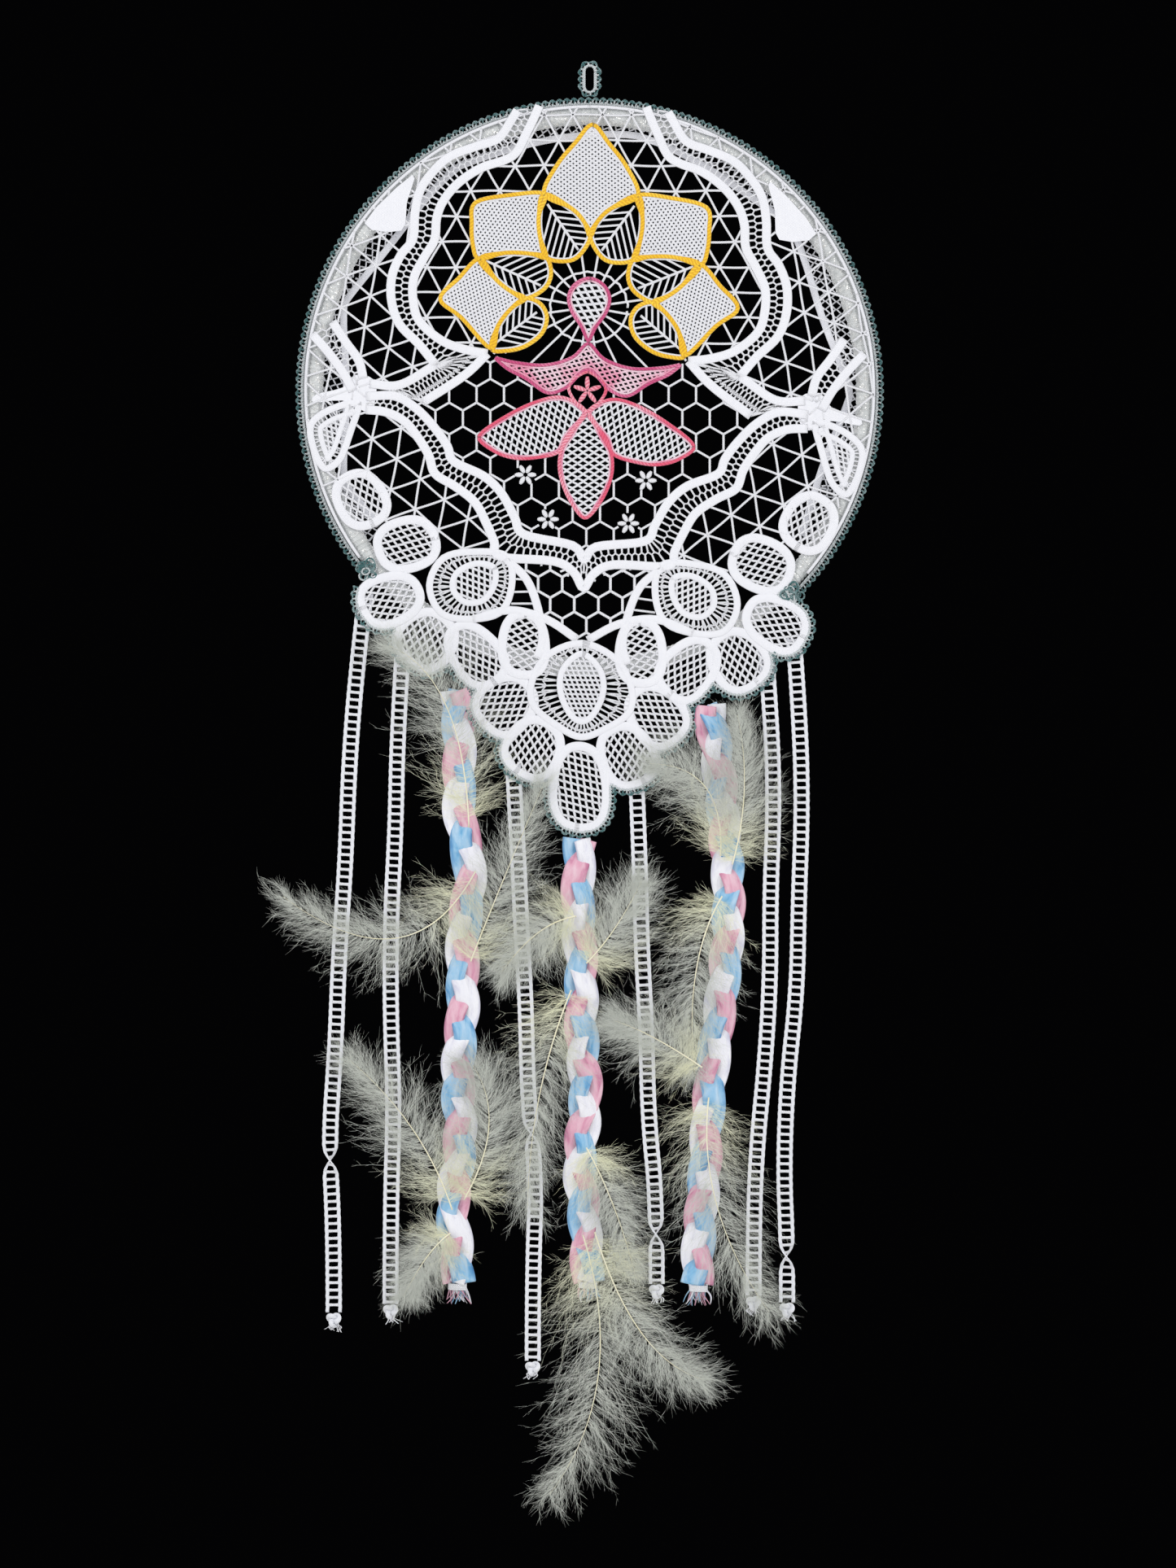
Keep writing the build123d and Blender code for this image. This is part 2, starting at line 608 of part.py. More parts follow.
# strand, quill foot, middle and tip from the strand's top, half width of the down, layer, lean in degrees
feathers = [
    ("left", (8, -80), (-5, -8), (-39, 28), 16, 1, 8),
    ("left", (12, -106), (-36, -146), (-103, -121), 15, 1, 0),
    ("left", (9, -160), (27, -115), (53, -53), 14, 1, 0),
    ("left", (-2, -308), (-26, -259), (-64, -218), 16, 1, 0),
    ("left", (5, -302), (20, -257), (9, -220), 15, 1, 0),
    ("left", (-3, -322), (-17, -336), (-31, -360), 11, 1, 0),
    ("centre", (3, -74), (20, -53), (36, -25), 14, 1, 0),
    ("centre", (-3, -46), (-26, -56), (-48, -80), 13, 1, 0),
    ("centre", (-6, -90), (-25, -153), (-32, -220), 15, 1, 0),
    ("centre", (3, -184), (19, -218), (32, -259), 13, 1, 0),
    ("centre", (1, -236), (10, -320), (-19, -391), 19, 1, 0),
    ("centre", (8, -234), (36, -294), (73, -322), 15, 2, 0),
    ("right", (-5, -216), (-34, -198), (-58, -188), 13, 2, 0),
    ("right", (6, -90), (-3, -49), (-36, -35), 15, 1, 0),
    ("right", (13, -95), (20, -50), (16, -6), 13, 2, 0),
    ("right", (7, -114), (-9, -161), (-9, -222), 15, 1, 0),
    ("right", (-1, -234), (4, -299), (35, -362), 18, 1, 0),
]


def quill_line(foot, middle, tip, count=5):
    """Points along a quill's bend, from its foot to its tip."""
    pull = (2 * middle[0] - (foot[0] + tip[0]) / 2, 2 * middle[1] - (foot[1] + tip[1]) / 2)
    line = []
    for index in range(count):
        t = index / (count - 1)
        near, bent, far = (1 - t) ** 2, 2 * t * (1 - t), t**2
        line.append(tuple(near * a + bent * b + far * c for a, b, c in zip(foot, pull, tip)))
    return line


def down_outline(line, half_width):
    """Outline of the soft down on both sides of a quill."""
    shares = [index / (len(line) - 1) for index in range(len(line))]
    rows = [max(quill_width / 2, half_width * sin(pi * share**0.75) ** 0.8) for share in shares]
    one = [beside(line, row)[index] for index, row in enumerate(rows)]
    other = [beside(line, -row)[index] for index, row in enumerate(rows)]
    return one + other[::-1]


for side, drop in braid_drops.items():
    route = from_top(braid_tops[side], drop)
    with BuildPart() as braid:
        with BuildLine(Plane.XZ.offset(braid_middle)) as braid_path:
            FilletPolyline(*route, radius=report_radii(f"braid_{side}", route))
        with BuildSketch(Plane(origin=braid_path.line @ 0, z_dir=braid_path.line % 0, x_dir=(0, -1, 0))):
            Rectangle(braid_thickness, braid_width)
        sweep()
    braid.part.label = f"braid_{side}"
    export_step(braid.part, f"parts/braid_{side}.step")

    end_x, end_z = route[-1]
    with BuildPart() as braid_tie:
        with BuildSketch(Plane.XY.offset(end_z)):
            Polygon(*oval((end_x, -braid_middle), tie_width / 2, tie_depth / 2), align=None)
        extrude(amount=-tie_length)
        chamfer(braid_tie.faces().sort_by(Axis.Z)[-1].edges(), tie_chamfer)
    braid_tie.part.label = f"braid_tie_{side}"
    export_step(braid_tie.part, f"parts/braid_tie_{side}.step")

for number, (side, foot, middle, tip, half_width, deck, lean) in enumerate(feathers, start=1):
    line = [(x - foot[0], z - foot[1]) for x, z in quill_line(foot, middle, tip)]
    foot_x, foot_z = from_top(braid_tops[side], [foot])[0]
    front = braid_front + deck * (fit_gap + feather_thickness) + (deck - 1) * quill_height
    feather_plane = Plane(
        origin=(foot_x, -front, foot_z),
        x_dir=(1, 0, 0),
        z_dir=(0, -cos(radians(lean)), -sin(radians(lean))),
    )
    with BuildPart() as feather:
        with BuildSketch(feather_plane):
            Polygon(*down_outline(line, half_width), align=None)
        extrude(amount=-feather_thickness)
        with BuildSketch(feather_plane.offset(quill_height)):
            Polygon(*(beside(line, quill_width / 2) + beside(line, -quill_width / 2)[::-1]), align=None)
        extrude(amount=-quill_height)
    feather.part.label = f"feather_{number:02d}"
    export_step(feather.part, f"parts/feather_{number:02d}.step")
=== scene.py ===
"""Lace dream catcher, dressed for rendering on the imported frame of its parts.

Lengths in the classes are millimetres unless a name says otherwise.  Panel places are
measured from the hoop's middle: the first number runs to the right, the second runs up.
"""

import logging
import math
from dataclasses import dataclass, field
from enum import Enum
from typing import Any, Sequence

import bpy
import numpy as np
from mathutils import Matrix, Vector
from mathutils.geometry import tessellate_polygon


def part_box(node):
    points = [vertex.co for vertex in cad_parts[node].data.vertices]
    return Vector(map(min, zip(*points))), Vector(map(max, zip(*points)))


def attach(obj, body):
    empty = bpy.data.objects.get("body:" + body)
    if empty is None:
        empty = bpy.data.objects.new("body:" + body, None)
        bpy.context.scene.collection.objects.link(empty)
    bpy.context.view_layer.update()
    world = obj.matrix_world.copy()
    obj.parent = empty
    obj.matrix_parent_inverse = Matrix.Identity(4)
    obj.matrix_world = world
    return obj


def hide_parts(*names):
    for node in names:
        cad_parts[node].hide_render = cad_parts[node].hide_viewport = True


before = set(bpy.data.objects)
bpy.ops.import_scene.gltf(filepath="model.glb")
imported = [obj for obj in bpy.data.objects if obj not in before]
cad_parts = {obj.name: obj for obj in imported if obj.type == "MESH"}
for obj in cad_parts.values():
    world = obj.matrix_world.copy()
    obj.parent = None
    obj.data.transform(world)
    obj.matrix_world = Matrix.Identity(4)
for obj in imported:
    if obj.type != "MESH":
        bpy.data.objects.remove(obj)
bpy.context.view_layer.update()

log = logging.getLogger("dream_catcher")
MM = 0.001
PATTERN_RADIUS = 165.0    # the hoop's, in the pattern that the panel points below are drawn on

Point = tuple[float, float]
Outline = list[Point]
Colour = tuple[float, float, float]


def paint(red: int, green: int, blue: int) -> Colour:
    """Turns a dye's shade, 0 to 255 as seen on a screen, into linear light."""
    shares = [value / 255 for value in (red, green, blue)]
    return tuple(((s + 0.055) / 1.055) ** 2.4 if s > 0.04045 else s / 12.92 for s in shares)


# ---------------------------------------------------------------- shader writing
class Socket:
    """A value inside a material that can be worked with like a number."""

    def __init__(self, graph: "Graph", link: bpy.types.NodeSocket) -> None:
        """Keeps the graph that the value belongs to and the output that carries it."""
        self.graph = graph
        self.link = link

    def __add__(self, other: "Socket | float") -> "Socket":
        """Sum of two values."""
        return self.graph.maths("ADD", self, other)

    def __radd__(self, other: float) -> "Socket":
        """Sum, with the number written first."""
        return self.graph.maths("ADD", other, self)

    def __sub__(self, other: "Socket | float") -> "Socket":
        """Difference of two values."""
        return self.graph.maths("SUBTRACT", self, other)

    def __rsub__(self, other: float) -> "Socket":
        """Difference, with the number written first."""
        return self.graph.maths("SUBTRACT", other, self)

    def __mul__(self, other: "Socket | float") -> "Socket":
        """Product of two values."""
        return self.graph.maths("MULTIPLY", self, other)

    def __rmul__(self, other: float) -> "Socket":
        """Product, with the number written first."""
        return self.graph.maths("MULTIPLY", other, self)

    def __pow__(self, other: float) -> "Socket":
        """Power of a value."""
        return self.graph.maths("POWER", self, other)

    def sine(self) -> "Socket":
        """Sine of the value, which is in radians."""
        return self.graph.maths("SINE", self)

    def size(self) -> "Socket":
        """The value without its sign."""
        return self.graph.maths("ABSOLUTE", self)

    def clamped(self) -> "Socket":
        """The value kept between 0 and 1."""
        return self.graph.maths("MINIMUM", self.graph.maths("MAXIMUM", self, 0.0), 1.0)


class Graph:
    """Writes one node tree."""

    def __init__(self, tree: bpy.types.NodeTree) -> None:
        """Empties the tree that it is given."""
        self.tree = tree
        tree.nodes.clear()

    def node(self, kind: str, settings: dict[str, Any], values: dict[Any, Any]) -> bpy.types.Node:
        """Adds a node.

        Args:
            kind: the node's type.
            settings: what is chosen on the node, set before its sockets.
            values: a number, colour or Socket for each input, by name or place.

        Returns:
            The node.
        """
        made = self.tree.nodes.new(kind)
        for name, setting in settings.items():
            setattr(made, name, setting)
        for name, value in values.items():
            if isinstance(value, Socket):
                self.tree.links.new(value.link, made.inputs[name])
            else:
                made.inputs[name].default_value = value
        return made

    def read(self, node: bpy.types.Node, output: Any = 0) -> Socket:
        """One of a node's outputs as a value."""
        return Socket(self, node.outputs[output])

    def maths(self, operation: str, *values: "Socket | float") -> Socket:
        """Result of a Math node on one or two values."""
        return self.read(self.node("ShaderNodeMath", {"operation": operation}, dict(enumerate(values))))

    def mark(self, name: str) -> Socket:
        """A number that the mesh keeps at each of its points."""
        return self.read(self.node("ShaderNodeAttribute", {"attribute_name": name}, {}), "Fac")

    def place(self) -> Socket:
        """Where on the piece a point lies."""
        return self.read(self.node("ShaderNodeTexCoord", {}, {}), "Object")

    def noise(self, scale: float, detail: float = 2.0) -> Socket:
        """Soft random cloud that is fixed to the piece.

        Args:
            scale: clouds to the metre.
            detail: how many finer clouds are added.

        Returns:
            A value from 0 to 1.
        """
        values = {"Vector": self.place(), "Scale": scale, "Detail": detail}
        return self.read(self.node("ShaderNodeTexNoise", {}, values))

    def wave(self, mark: str, length: float, shift: Socket | None = None) -> Socket:
        """Wave from 0 to 1 along one of the mesh's marks.

        Args:
            mark: the mark.
            length: distance between two crests.
            shift: turn that is added to it, in radians, or nothing.

        Returns:
            The wave's height.
        """
        turn = self.mark(mark) * (2 * math.pi / length)
        return (turn + shift if shift else turn).sine() * 0.5 + 0.5

    def blend(self, share: "Socket | float", first: Any, second: Any) -> Socket:
        """Mixes two colours.

        Args:
            share: 0 for the first, 1 for the second.
            first: a colour or a Socket.
            second: a colour or a Socket.

        Returns:
            The mixed colour.
        """
        values = {0: share}
        for place, colour in ((6, first), (7, second)):
            values[place] = colour if isinstance(colour, Socket) else (*colour, 1.0)
        return self.read(self.node("ShaderNodeMix", {"data_type": "RGBA"}, values), 2)

    def raised(self, height: Socket, depth: float, strength: float = 1.0) -> Socket:
        """Surface normal of a fine relief.

        Args:
            height: relief from 0 to 1.
            depth: its depth in metres.
            strength: how much of it shows.

        Returns:
            The normal.
        """
        values = {"Strength": strength, "Distance": depth, "Height": height}
        return self.read(self.node("ShaderNodeBump", {}, values))

    def surface(self, **values: Any) -> None:
        """Ends the material in a Principled surface.

        Args:
            values: its sockets, with a space written as an underscore.
        """
        named = {name.replace("_", " "): value for name, value in values.items()}
        for name, value in named.items():
            if name in ("Base Color", "Sheen Tint") and not isinstance(value, Socket):
                named[name] = (*value, 1.0)
        shader = self.read(self.node("ShaderNodeBsdfPrincipled", {}, named))
        self.node("ShaderNodeOutputMaterial", {}, {"Surface": shader})


def darker(colour: Colour, share: float) -> Colour:
    """A dye at a share of its brightness."""
    return tuple(part * share for part in colour)


# ---------------------------------------------------------------- finishes
@dataclass(frozen=True)
class Look:
    """What every finish has: a name, a colour and a way to write its nodes."""

    name: str
    colour: Colour

    def write(self, graph: Graph) -> None:
        """Writes the nodes; each kind of finish has its own."""
        raise NotImplementedError

    def material(self) -> bpy.types.Material:
        """The finish's material, written once.

        Returns:
            The material.
        """
        made = bpy.data.materials.get(self.name)
        if not made:
            made = bpy.data.materials.new(self.name)
            made.use_nodes = True
            self.write(Graph(made.node_tree))
        return made


@dataclass(frozen=True)
class ThreadFinish(Look):
    """Twisted cotton thread, in one dye or a patchy second one."""

    # Darker colour painted into the grooves between the plies as shade.
    painted_groove_shade: Colour
    second: Colour | None = None
    patch_scale: float = 60.0
    twist: float = 1.1
    roughness: float = 0.72

    def write(self, graph: Graph) -> None:
        """Adds its ply twist, dye changes and fuzz, with painted shade in the grooves between the plies.

        Args:
            graph: the material's graph.
        """
        ply = graph.wave("along", self.twist, graph.mark("across") * 2.4)
        fuzz = graph.noise(2600.0)
        shade = (ply * 0.75 + fuzz * 0.4).clamped()
        body = graph.blend(graph.noise(45.0), self.colour, darker(self.colour, 0.93))
        if self.second:
            patches = ((graph.noise(self.patch_scale) - 0.42) * 6.0).clamped()
            body = graph.blend(patches, body, self.second)
        # Painted shade: where the twist wave is low, in the ply grooves, the darker groove colour shows; the fuzz
        # varies it at random.
        colour = graph.blend(shade, self.painted_groove_shade, body)
        normal = graph.raised(ply * 0.7 + fuzz * 0.3, 0.0003)
        graph.surface(Base_Color=colour, Roughness=self.roughness, Normal=normal, Sheen_Weight=0.3,
                      Sheen_Roughness=0.5)


@dataclass(frozen=True)
class ClothFinish(Look):
    """Plain-woven lace cloth, with its warp along a strip."""

    # Darker colour painted into the hollows of the weave as shade.
    painted_groove_shade: Colour
    weft_pitch: float = 0.95
    warps: float = 3.0

    def write(self, graph: Graph) -> None:
        """Adds its weave, slubs and slight greying, with painted shade in the hollows of the weave.

        Args:
            graph: the material's graph.
        """
        weft = (graph.mark("along") * (2 * math.pi / self.weft_pitch)).sine()
        warp = (graph.mark("across") * (self.warps * math.pi)).sine()
        weave = weft * warp * 0.5 + 0.5
        slub = graph.noise(700.0)
        body = graph.blend(graph.noise(38.0), self.colour, darker(self.colour, 0.9))
        # Painted shade: the weave's hollows take the darker groove colour; the slubs darken it at random too.
        colour = graph.blend((weave * 0.7 + slub * 0.5).clamped(), self.painted_groove_shade, body)
        normal = graph.raised(weave * 0.7 + slub * 0.3, 0.00022)
        graph.surface(Base_Color=colour, Roughness=0.78, Normal=normal, Sheen_Weight=0.25, Sheen_Roughness=0.5)


@dataclass(frozen=True)
class SatinFinish(Look):
    """Satin ribbon, folded along its length."""

    shadow: Colour
    weave: float = 0.55

    def write(self, graph: Graph) -> None:
        """Adds its lengthwise creases, fine weave and soft gloss, with a painted highlight between the creases and
        painted shade in them and towards the edges.

        Args:
            graph: the material's graph.
        """
        along, side = graph.mark("along"), graph.mark("across")
        spread = graph.read(graph.node("ShaderNodeCombineXYZ", {}, {0: along * 0.075, 1: side * 1.5}))
        values = {"Vector": spread, "Scale": 1.0, "Detail": 3.0, "Distortion": 0.6}
        creases = graph.read(graph.node("ShaderNodeTexNoise", {}, values))
        weave = graph.wave("along", self.weave)
        # Painted highlight: the crests between the creases take a paler colour.
        painted_fold_highlights = ((creases - 0.3) * 2.4).clamped()
        pale = tuple(c + (1 - c) * 0.4 for c in self.colour)
        body = graph.blend(painted_fold_highlights, self.colour, pale)
        # Painted shade in the creases and towards the ribbon's edges.
        shade = (side.size() ** 3.0 * 0.65 + (0.42 - creases) * 2.5).clamped()
        colour = graph.blend(shade, body, self.shadow)
        normal = graph.raised(creases * 0.9 + weave * 0.06, 0.0016, 0.9)
        rough = 0.3 + graph.noise(90.0) * 0.14
        graph.surface(Base_Color=colour, Roughness=rough, Normal=normal, Sheen_Weight=0.25, Sheen_Roughness=0.35,
                      Anisotropic=0.4)


@dataclass(frozen=True)
class GlitterFinish(Look):
    """Metallic yarn that is wound round the hoop."""

    dark: Colour
    # Colour of the foil flakes, brightened as a painted glint.
    flake_glint: Colour
    flakes: float = 900.0
    twist: float = 1.4

    def write(self, graph: Graph) -> None:
        """Adds its pebbly foil flakes, with a painted glint: a brighter colour on them.

        Args:
            graph: the material's graph.
        """
        flakes = graph.node("ShaderNodeTexVoronoi", {}, {"Vector": graph.place(), "Scale": self.flakes})
        depth, tint = graph.read(flakes, 0), graph.read(flakes, 1)
        pick = graph.read(graph.node("ShaderNodeSeparateColor", {}, {0: tint}))
        glint = ((pick - 0.72) * 8.0).clamped()
        wear = graph.noise(120.0, 4.0)
        body = graph.blend((wear * 1.5 - 0.25).clamped(), self.dark, self.colour)
        # Painted glint: the foil flakes take a brighter colour, besides their real metallic gloss.
        colour = graph.blend(glint, body, self.flake_glint)
        twist = graph.wave("along", self.twist, graph.mark("across") * 5.0)
        normal = graph.raised(depth * 0.6 + twist * 0.4, 0.0005)
        graph.surface(Base_Color=colour, Roughness=0.62 - glint * 0.34, Metallic=glint * 0.5, Normal=normal,
                      Sheen_Weight=0.2)


@dataclass(frozen=True)
class DownFinish(Look):
    """Fluffy down, paler and yellower at its foot."""

    foot: Colour
    tip: Colour

    def write(self, graph: Graph) -> None:
        """Adds a shade that changes from barb to barb and along each one.

        Args:
            graph: the material's graph.
        """
        body = graph.blend(graph.mark("along"), self.colour, self.tip)
        feather = graph.blend((1.0 - graph.mark("place") * 3.0).clamped(), body, self.foot)
        colour = graph.blend(graph.mark("tint") * 0.4, feather, darker(self.colour, 0.6))
        graph.surface(Base_Color=colour, Roughness=0.62 + graph.noise(400.0) * 0.2, Sheen_Weight=0.4,
                      Sheen_Roughness=0.4)


@dataclass(frozen=True)
class QuillFinish(Look):
    """Horny quill of a feather."""

    foot: Colour

    def write(self, graph: Graph) -> None:
        """Adds fine lengthwise grain and a satin polish.

        Args:
            graph: the material's graph.
        """
        grain = (graph.mark("across") * 9.0 + graph.noise(300.0) * 4.0).sine() * 0.5 + 0.5
        colour = graph.blend(graph.noise(80.0), self.colour, self.foot)
        graph.surface(Base_Color=colour, Roughness=0.3 + grain * 0.12, Normal=graph.raised(grain, 0.00005))


@dataclass(frozen=True)
class FloorFinish(Look):
    """Pale painted studio floor."""

    def write(self, graph: Graph) -> None:
        """Adds the faint unevenness of rolled paint.

        Args:
            graph: the material's graph.
        """
        colour = graph.blend(graph.noise(3.0, 4.0), self.colour, darker(self.colour, 0.93))
        graph.surface(Base_Color=colour, Roughness=0.8, Normal=graph.raised(graph.noise(600.0), 0.0002, 0.4))


class Finish(Enum):
    """Every finish on the dream catcher."""

    LACE = ThreadFinish("lace_thread", paint(249, 249, 252), paint(208, 210, 220))
    CLOTH = ClothFinish("lace_cloth", paint(248, 248, 252), paint(216, 218, 228))
    YELLOW = ThreadFinish("yellow_gimp", paint(251, 202, 18), paint(216, 156, 8), paint(255, 214, 56), 40.0, 2.2)
    ROSE = ThreadFinish("rose_gimp", paint(214, 78, 134), paint(174, 58, 106), paint(232, 128, 168), 60.0, 2.2)
    CORAL = ThreadFinish("coral_gimp", paint(238, 92, 124), paint(204, 66, 100), paint(246, 172, 190), 42.0, 2.2)
    PINK = ThreadFinish("variegated_pink", paint(250, 232, 240), paint(232, 176, 200), paint(240, 132, 168), 70.0)
    CROCHET = ThreadFinish("crochet_cotton", paint(226, 230, 232), paint(150, 162, 166), None, 60.0, 1.3)
    TEAL = ThreadFinish("teal_cotton", paint(62, 122, 124), paint(28, 72, 76), paint(150, 178, 180), 230.0, 1.2)
    GLITTER = GlitterFinish("glitter_yarn", paint(226, 228, 229), paint(178, 182, 182), paint(252, 252, 250))
    TAPE = ClothFinish("tape_cloth", paint(246, 247, 251), paint(210, 213, 225), 0.8, 2.0)
    SATIN_PINK = SatinFinish("satin_pink", paint(222, 148, 178), paint(178, 96, 138))
    SATIN_BLUE = SatinFinish("satin_blue", paint(112, 182, 226), paint(70, 130, 190))
    SATIN_WHITE = SatinFinish("satin_white", paint(236, 236, 246), paint(196, 196, 220))
    DOWN = DownFinish("feather_fluff", paint(214, 217, 210), paint(250, 249, 214), paint(198, 202, 195))
    QUILL = QuillFinish("feather_stem", paint(246, 243, 226), paint(232, 226, 188))
    FLOOR = FloorFinish("studio_floor", paint(226, 225, 222))


# ---------------------------------------------------------------- lines and outlines
DEEP = np.array([0, 1.0, 0])    # straight back from the panel


def polar(angle: Any) -> np.ndarray:
    """Unit vectors in the panel that point at angles in radians."""
    return np.stack([np.cos(angle), np.sin(angle)], -1)


def left_of(way: np.ndarray) -> np.ndarray:
    """Panel directions a quarter turn to the left of others."""
    return np.stack([-way[..., 1], way[..., 0]], -1)


def circle(count: int) -> np.ndarray:
    """Angles spread evenly over a whole turn."""
    return np.linspace(0, 2 * np.pi, count + 1)[:-1]


def unit(vectors: np.ndarray) -> np.ndarray:
    """Vectors brought to length 1."""
    return vectors / np.maximum(np.linalg.norm(vectors, axis=-1, keepdims=True), 1e-9)


def level(way: np.ndarray) -> np.ndarray:
    """Direction across a line that lies level with the panel."""
    return unit(np.cross(way, DEEP))


def rolled(aside: np.ndarray, roll: Any) -> np.ndarray:
    """Direction across a line, rolled out of the panel by an angle."""
    return aside * np.cos(roll) + DEEP * np.sin(roll)


def boxy(wave: np.ndarray, power: float) -> np.ndarray:
    """Sine or cosine of a section that is squarer than a circle where power is below 1."""
    return np.sign(wave) * np.abs(wave) ** power


def paced(line: np.ndarray) -> np.ndarray:
    """Length walked along a line up to each of its points."""
    return np.concatenate([[0], np.cumsum(np.linalg.norm(np.diff(line, axis=0), axis=1))])


def spaced(line: np.ndarray, walked: np.ndarray, count: int) -> np.ndarray:
    """Points spread evenly over the length that was walked along a line."""
    marks = np.linspace(0, walked[-1], count)
    return np.column_stack([np.interp(marks, walked, column) for column in line.T])


def across(points: Sequence[Point]) -> Outline:
    """Panel points carried over to the other half."""
    return [(-x, z) for x, z in points]


def whole(points: Outline) -> Outline:
    """Closed outline of a form on the middle line, from its left half's points, top to bottom."""
    inner = points[1:-1] if points[-1][0] == 0 else points[1:]
    return points + across(inner)[::-1]


def egg(place: Point, long: float, short: float, turn: float, taper: float) -> Outline:
    """Outline of a netted lobe, squarer than an oval.

    Args:
        place: its middle.
        long: half its length.
        short: half its width.
        turn: where its wide end points, in degrees.
        taper: how much wider that end is.

    Returns:
        Its points.
    """
    steps = circle(16)
    u = boxy(np.cos(steps), 0.85)
    v = boxy(np.sin(steps), 0.85) * (1 + taper * u)
    along = polar(math.radians(turn))
    spots = np.array(place) + (u * long)[:, None] * along + (v * short)[:, None] * left_of(along)
    return [tuple(spot) for spot in spots]


def curved(points: Sequence[Point], closed: bool = False, steps: int = 5) -> np.ndarray:
    """Smooth line through points.

    Args:
        points: the points.
        closed: whether the line comes back to its start.
        steps: pieces between two points.

    Returns:
        The line's points.
    """
    knots = np.asarray(points, float)
    if closed:
        knots = np.vstack([knots[-1], knots, knots[0], knots[1]])
    else:
        knots = np.vstack([2 * knots[0] - knots[1], knots, 2 * knots[-1] - knots[-2]])
    t = np.linspace(0, 1, steps, endpoint=False)[:, None]
    runs = []
    for a, b, c, d in zip(knots, knots[1:], knots[2:], knots[3:]):
        bend, twist = 2 * a - 5 * b + 4 * c - d, 3 * b - a - 3 * c + d
        runs.append(0.5 * (2 * b + (c - a) * t + bend * t**2 + twist * t**3))
    if not closed:
        runs.append(knots[-2:-1])
    return np.vstack(runs)


def even(line: np.ndarray, step: float, closed: bool = False) -> np.ndarray:
    """A line's points spaced out evenly.

    Args:
        line: points in two or three dimensions.
        step: wanted distance.
        closed: whether the line comes back to its start.

    Returns:
        New points; a closed line doesn't repeat its first.
    """
    if closed:
        line = np.vstack([line, line[:1]])
    walked = paced(line)
    points = spaced(line, walked, max(2, int(round(walked[-1] / step)) + 1))
    return points[:-1] if closed else points


def headings(line: np.ndarray, closed: bool = False) -> np.ndarray:
    """Direction of a line at each of its points.

    Args:
        line: points in two or three dimensions.
        closed: whether the line comes back to its start.

    Returns:
        Unit vectors.
    """
    if closed:
        way = np.roll(line, -1, axis=0) - np.roll(line, 1, axis=0)
    else:
        way = np.vstack([line[1] - line[0], line[2:] - line[:-2], line[-1] - line[-2]])
    return unit(way)


def beside(line: np.ndarray, step: float, closed: bool = False) -> np.ndarray:
    """Line beside another, to its left where step is above 0."""
    return line + left_of(headings(line, closed)) * step


def inward(line: np.ndarray, step: float) -> np.ndarray:
    """Line a step inside a closed one, whichever way it runs.

    Args:
        line: the closed line.
        step: how far inside.

    Returns:
        The new line.
    """
    x, z = line[:, 0], line[:, 1]
    turn = np.sum(x * np.roll(z, -1) - np.roll(x, -1) * z)
    return beside(line, step if turn > 0 else -step, True)


def within(points: np.ndarray, outline: np.ndarray) -> np.ndarray:
    """Says which points lie inside an outline.

    Args:
        points: places to test.
        outline: a closed outline.

    Returns:
        True or False for each.
    """
    x, z = points[:, 0:1], points[:, 1:2]
    x1, z1 = outline[:, 0], outline[:, 1]
    x2, z2 = np.roll(x1, -1), np.roll(z1, -1)
    spans = (z1 > z) != (z2 > z)
    with np.errstate(divide="ignore", invalid="ignore"):
        crossing = x < (x2 - x1) * (z - z1) / (z2 - z1) + x1
    return (np.sum(spans & crossing, axis=1) % 2) == 1


@dataclass
class Region:
    """Part of the panel that a ground fills."""

    keep: list[np.ndarray] = field(default_factory=list)
    cut: list[np.ndarray] = field(default_factory=list)
    reach: float = 1000.0

    def holds(self, points: np.ndarray) -> np.ndarray:
        """Says which points lie in the region.

        Args:
            points: places to test.

        Returns:
            True or False for each.
        """
        inside = np.hypot(points[:, 0], points[:, 1]) < self.reach
        if self.keep:
            inside &= np.any([within(points, outline) for outline in self.keep], axis=0)
        for outline in self.cut:
            inside &= ~within(points, outline)
        return inside

    def runs(self, line: np.ndarray) -> list[np.ndarray]:
        """Cuts a line to its runs inside the region.

        Args:
            line: points close enough together for the outlines' detail.

        Returns:
            The runs, each with its ends on the region's edge.
        """
        mask = self.holds(line)
        found, run = [], []
        for index, (point, kept) in enumerate(zip(line, mask)):
            if kept:
                if not run and index:
                    run.append(self.border(line[index - 1], point))
                run.append(point)
            elif run:
                run.append(self.border(point, line[index - 1]))
                found.append(np.array(run))
                run = []
        if len(run) > 1:
            found.append(np.array(run))
        return found

    def border(self, out: np.ndarray, kept: np.ndarray) -> np.ndarray:
        """Point where a short run crosses the region's edge.

        Args:
            out: its end outside the region.
            kept: its end inside.

        Returns:
            A point just inside the edge.
        """
        for _ in range(4):
            middle = (out + kept) / 2
            if self.holds(middle[None])[0]:
                kept = middle
            else:
                out = middle
        return kept


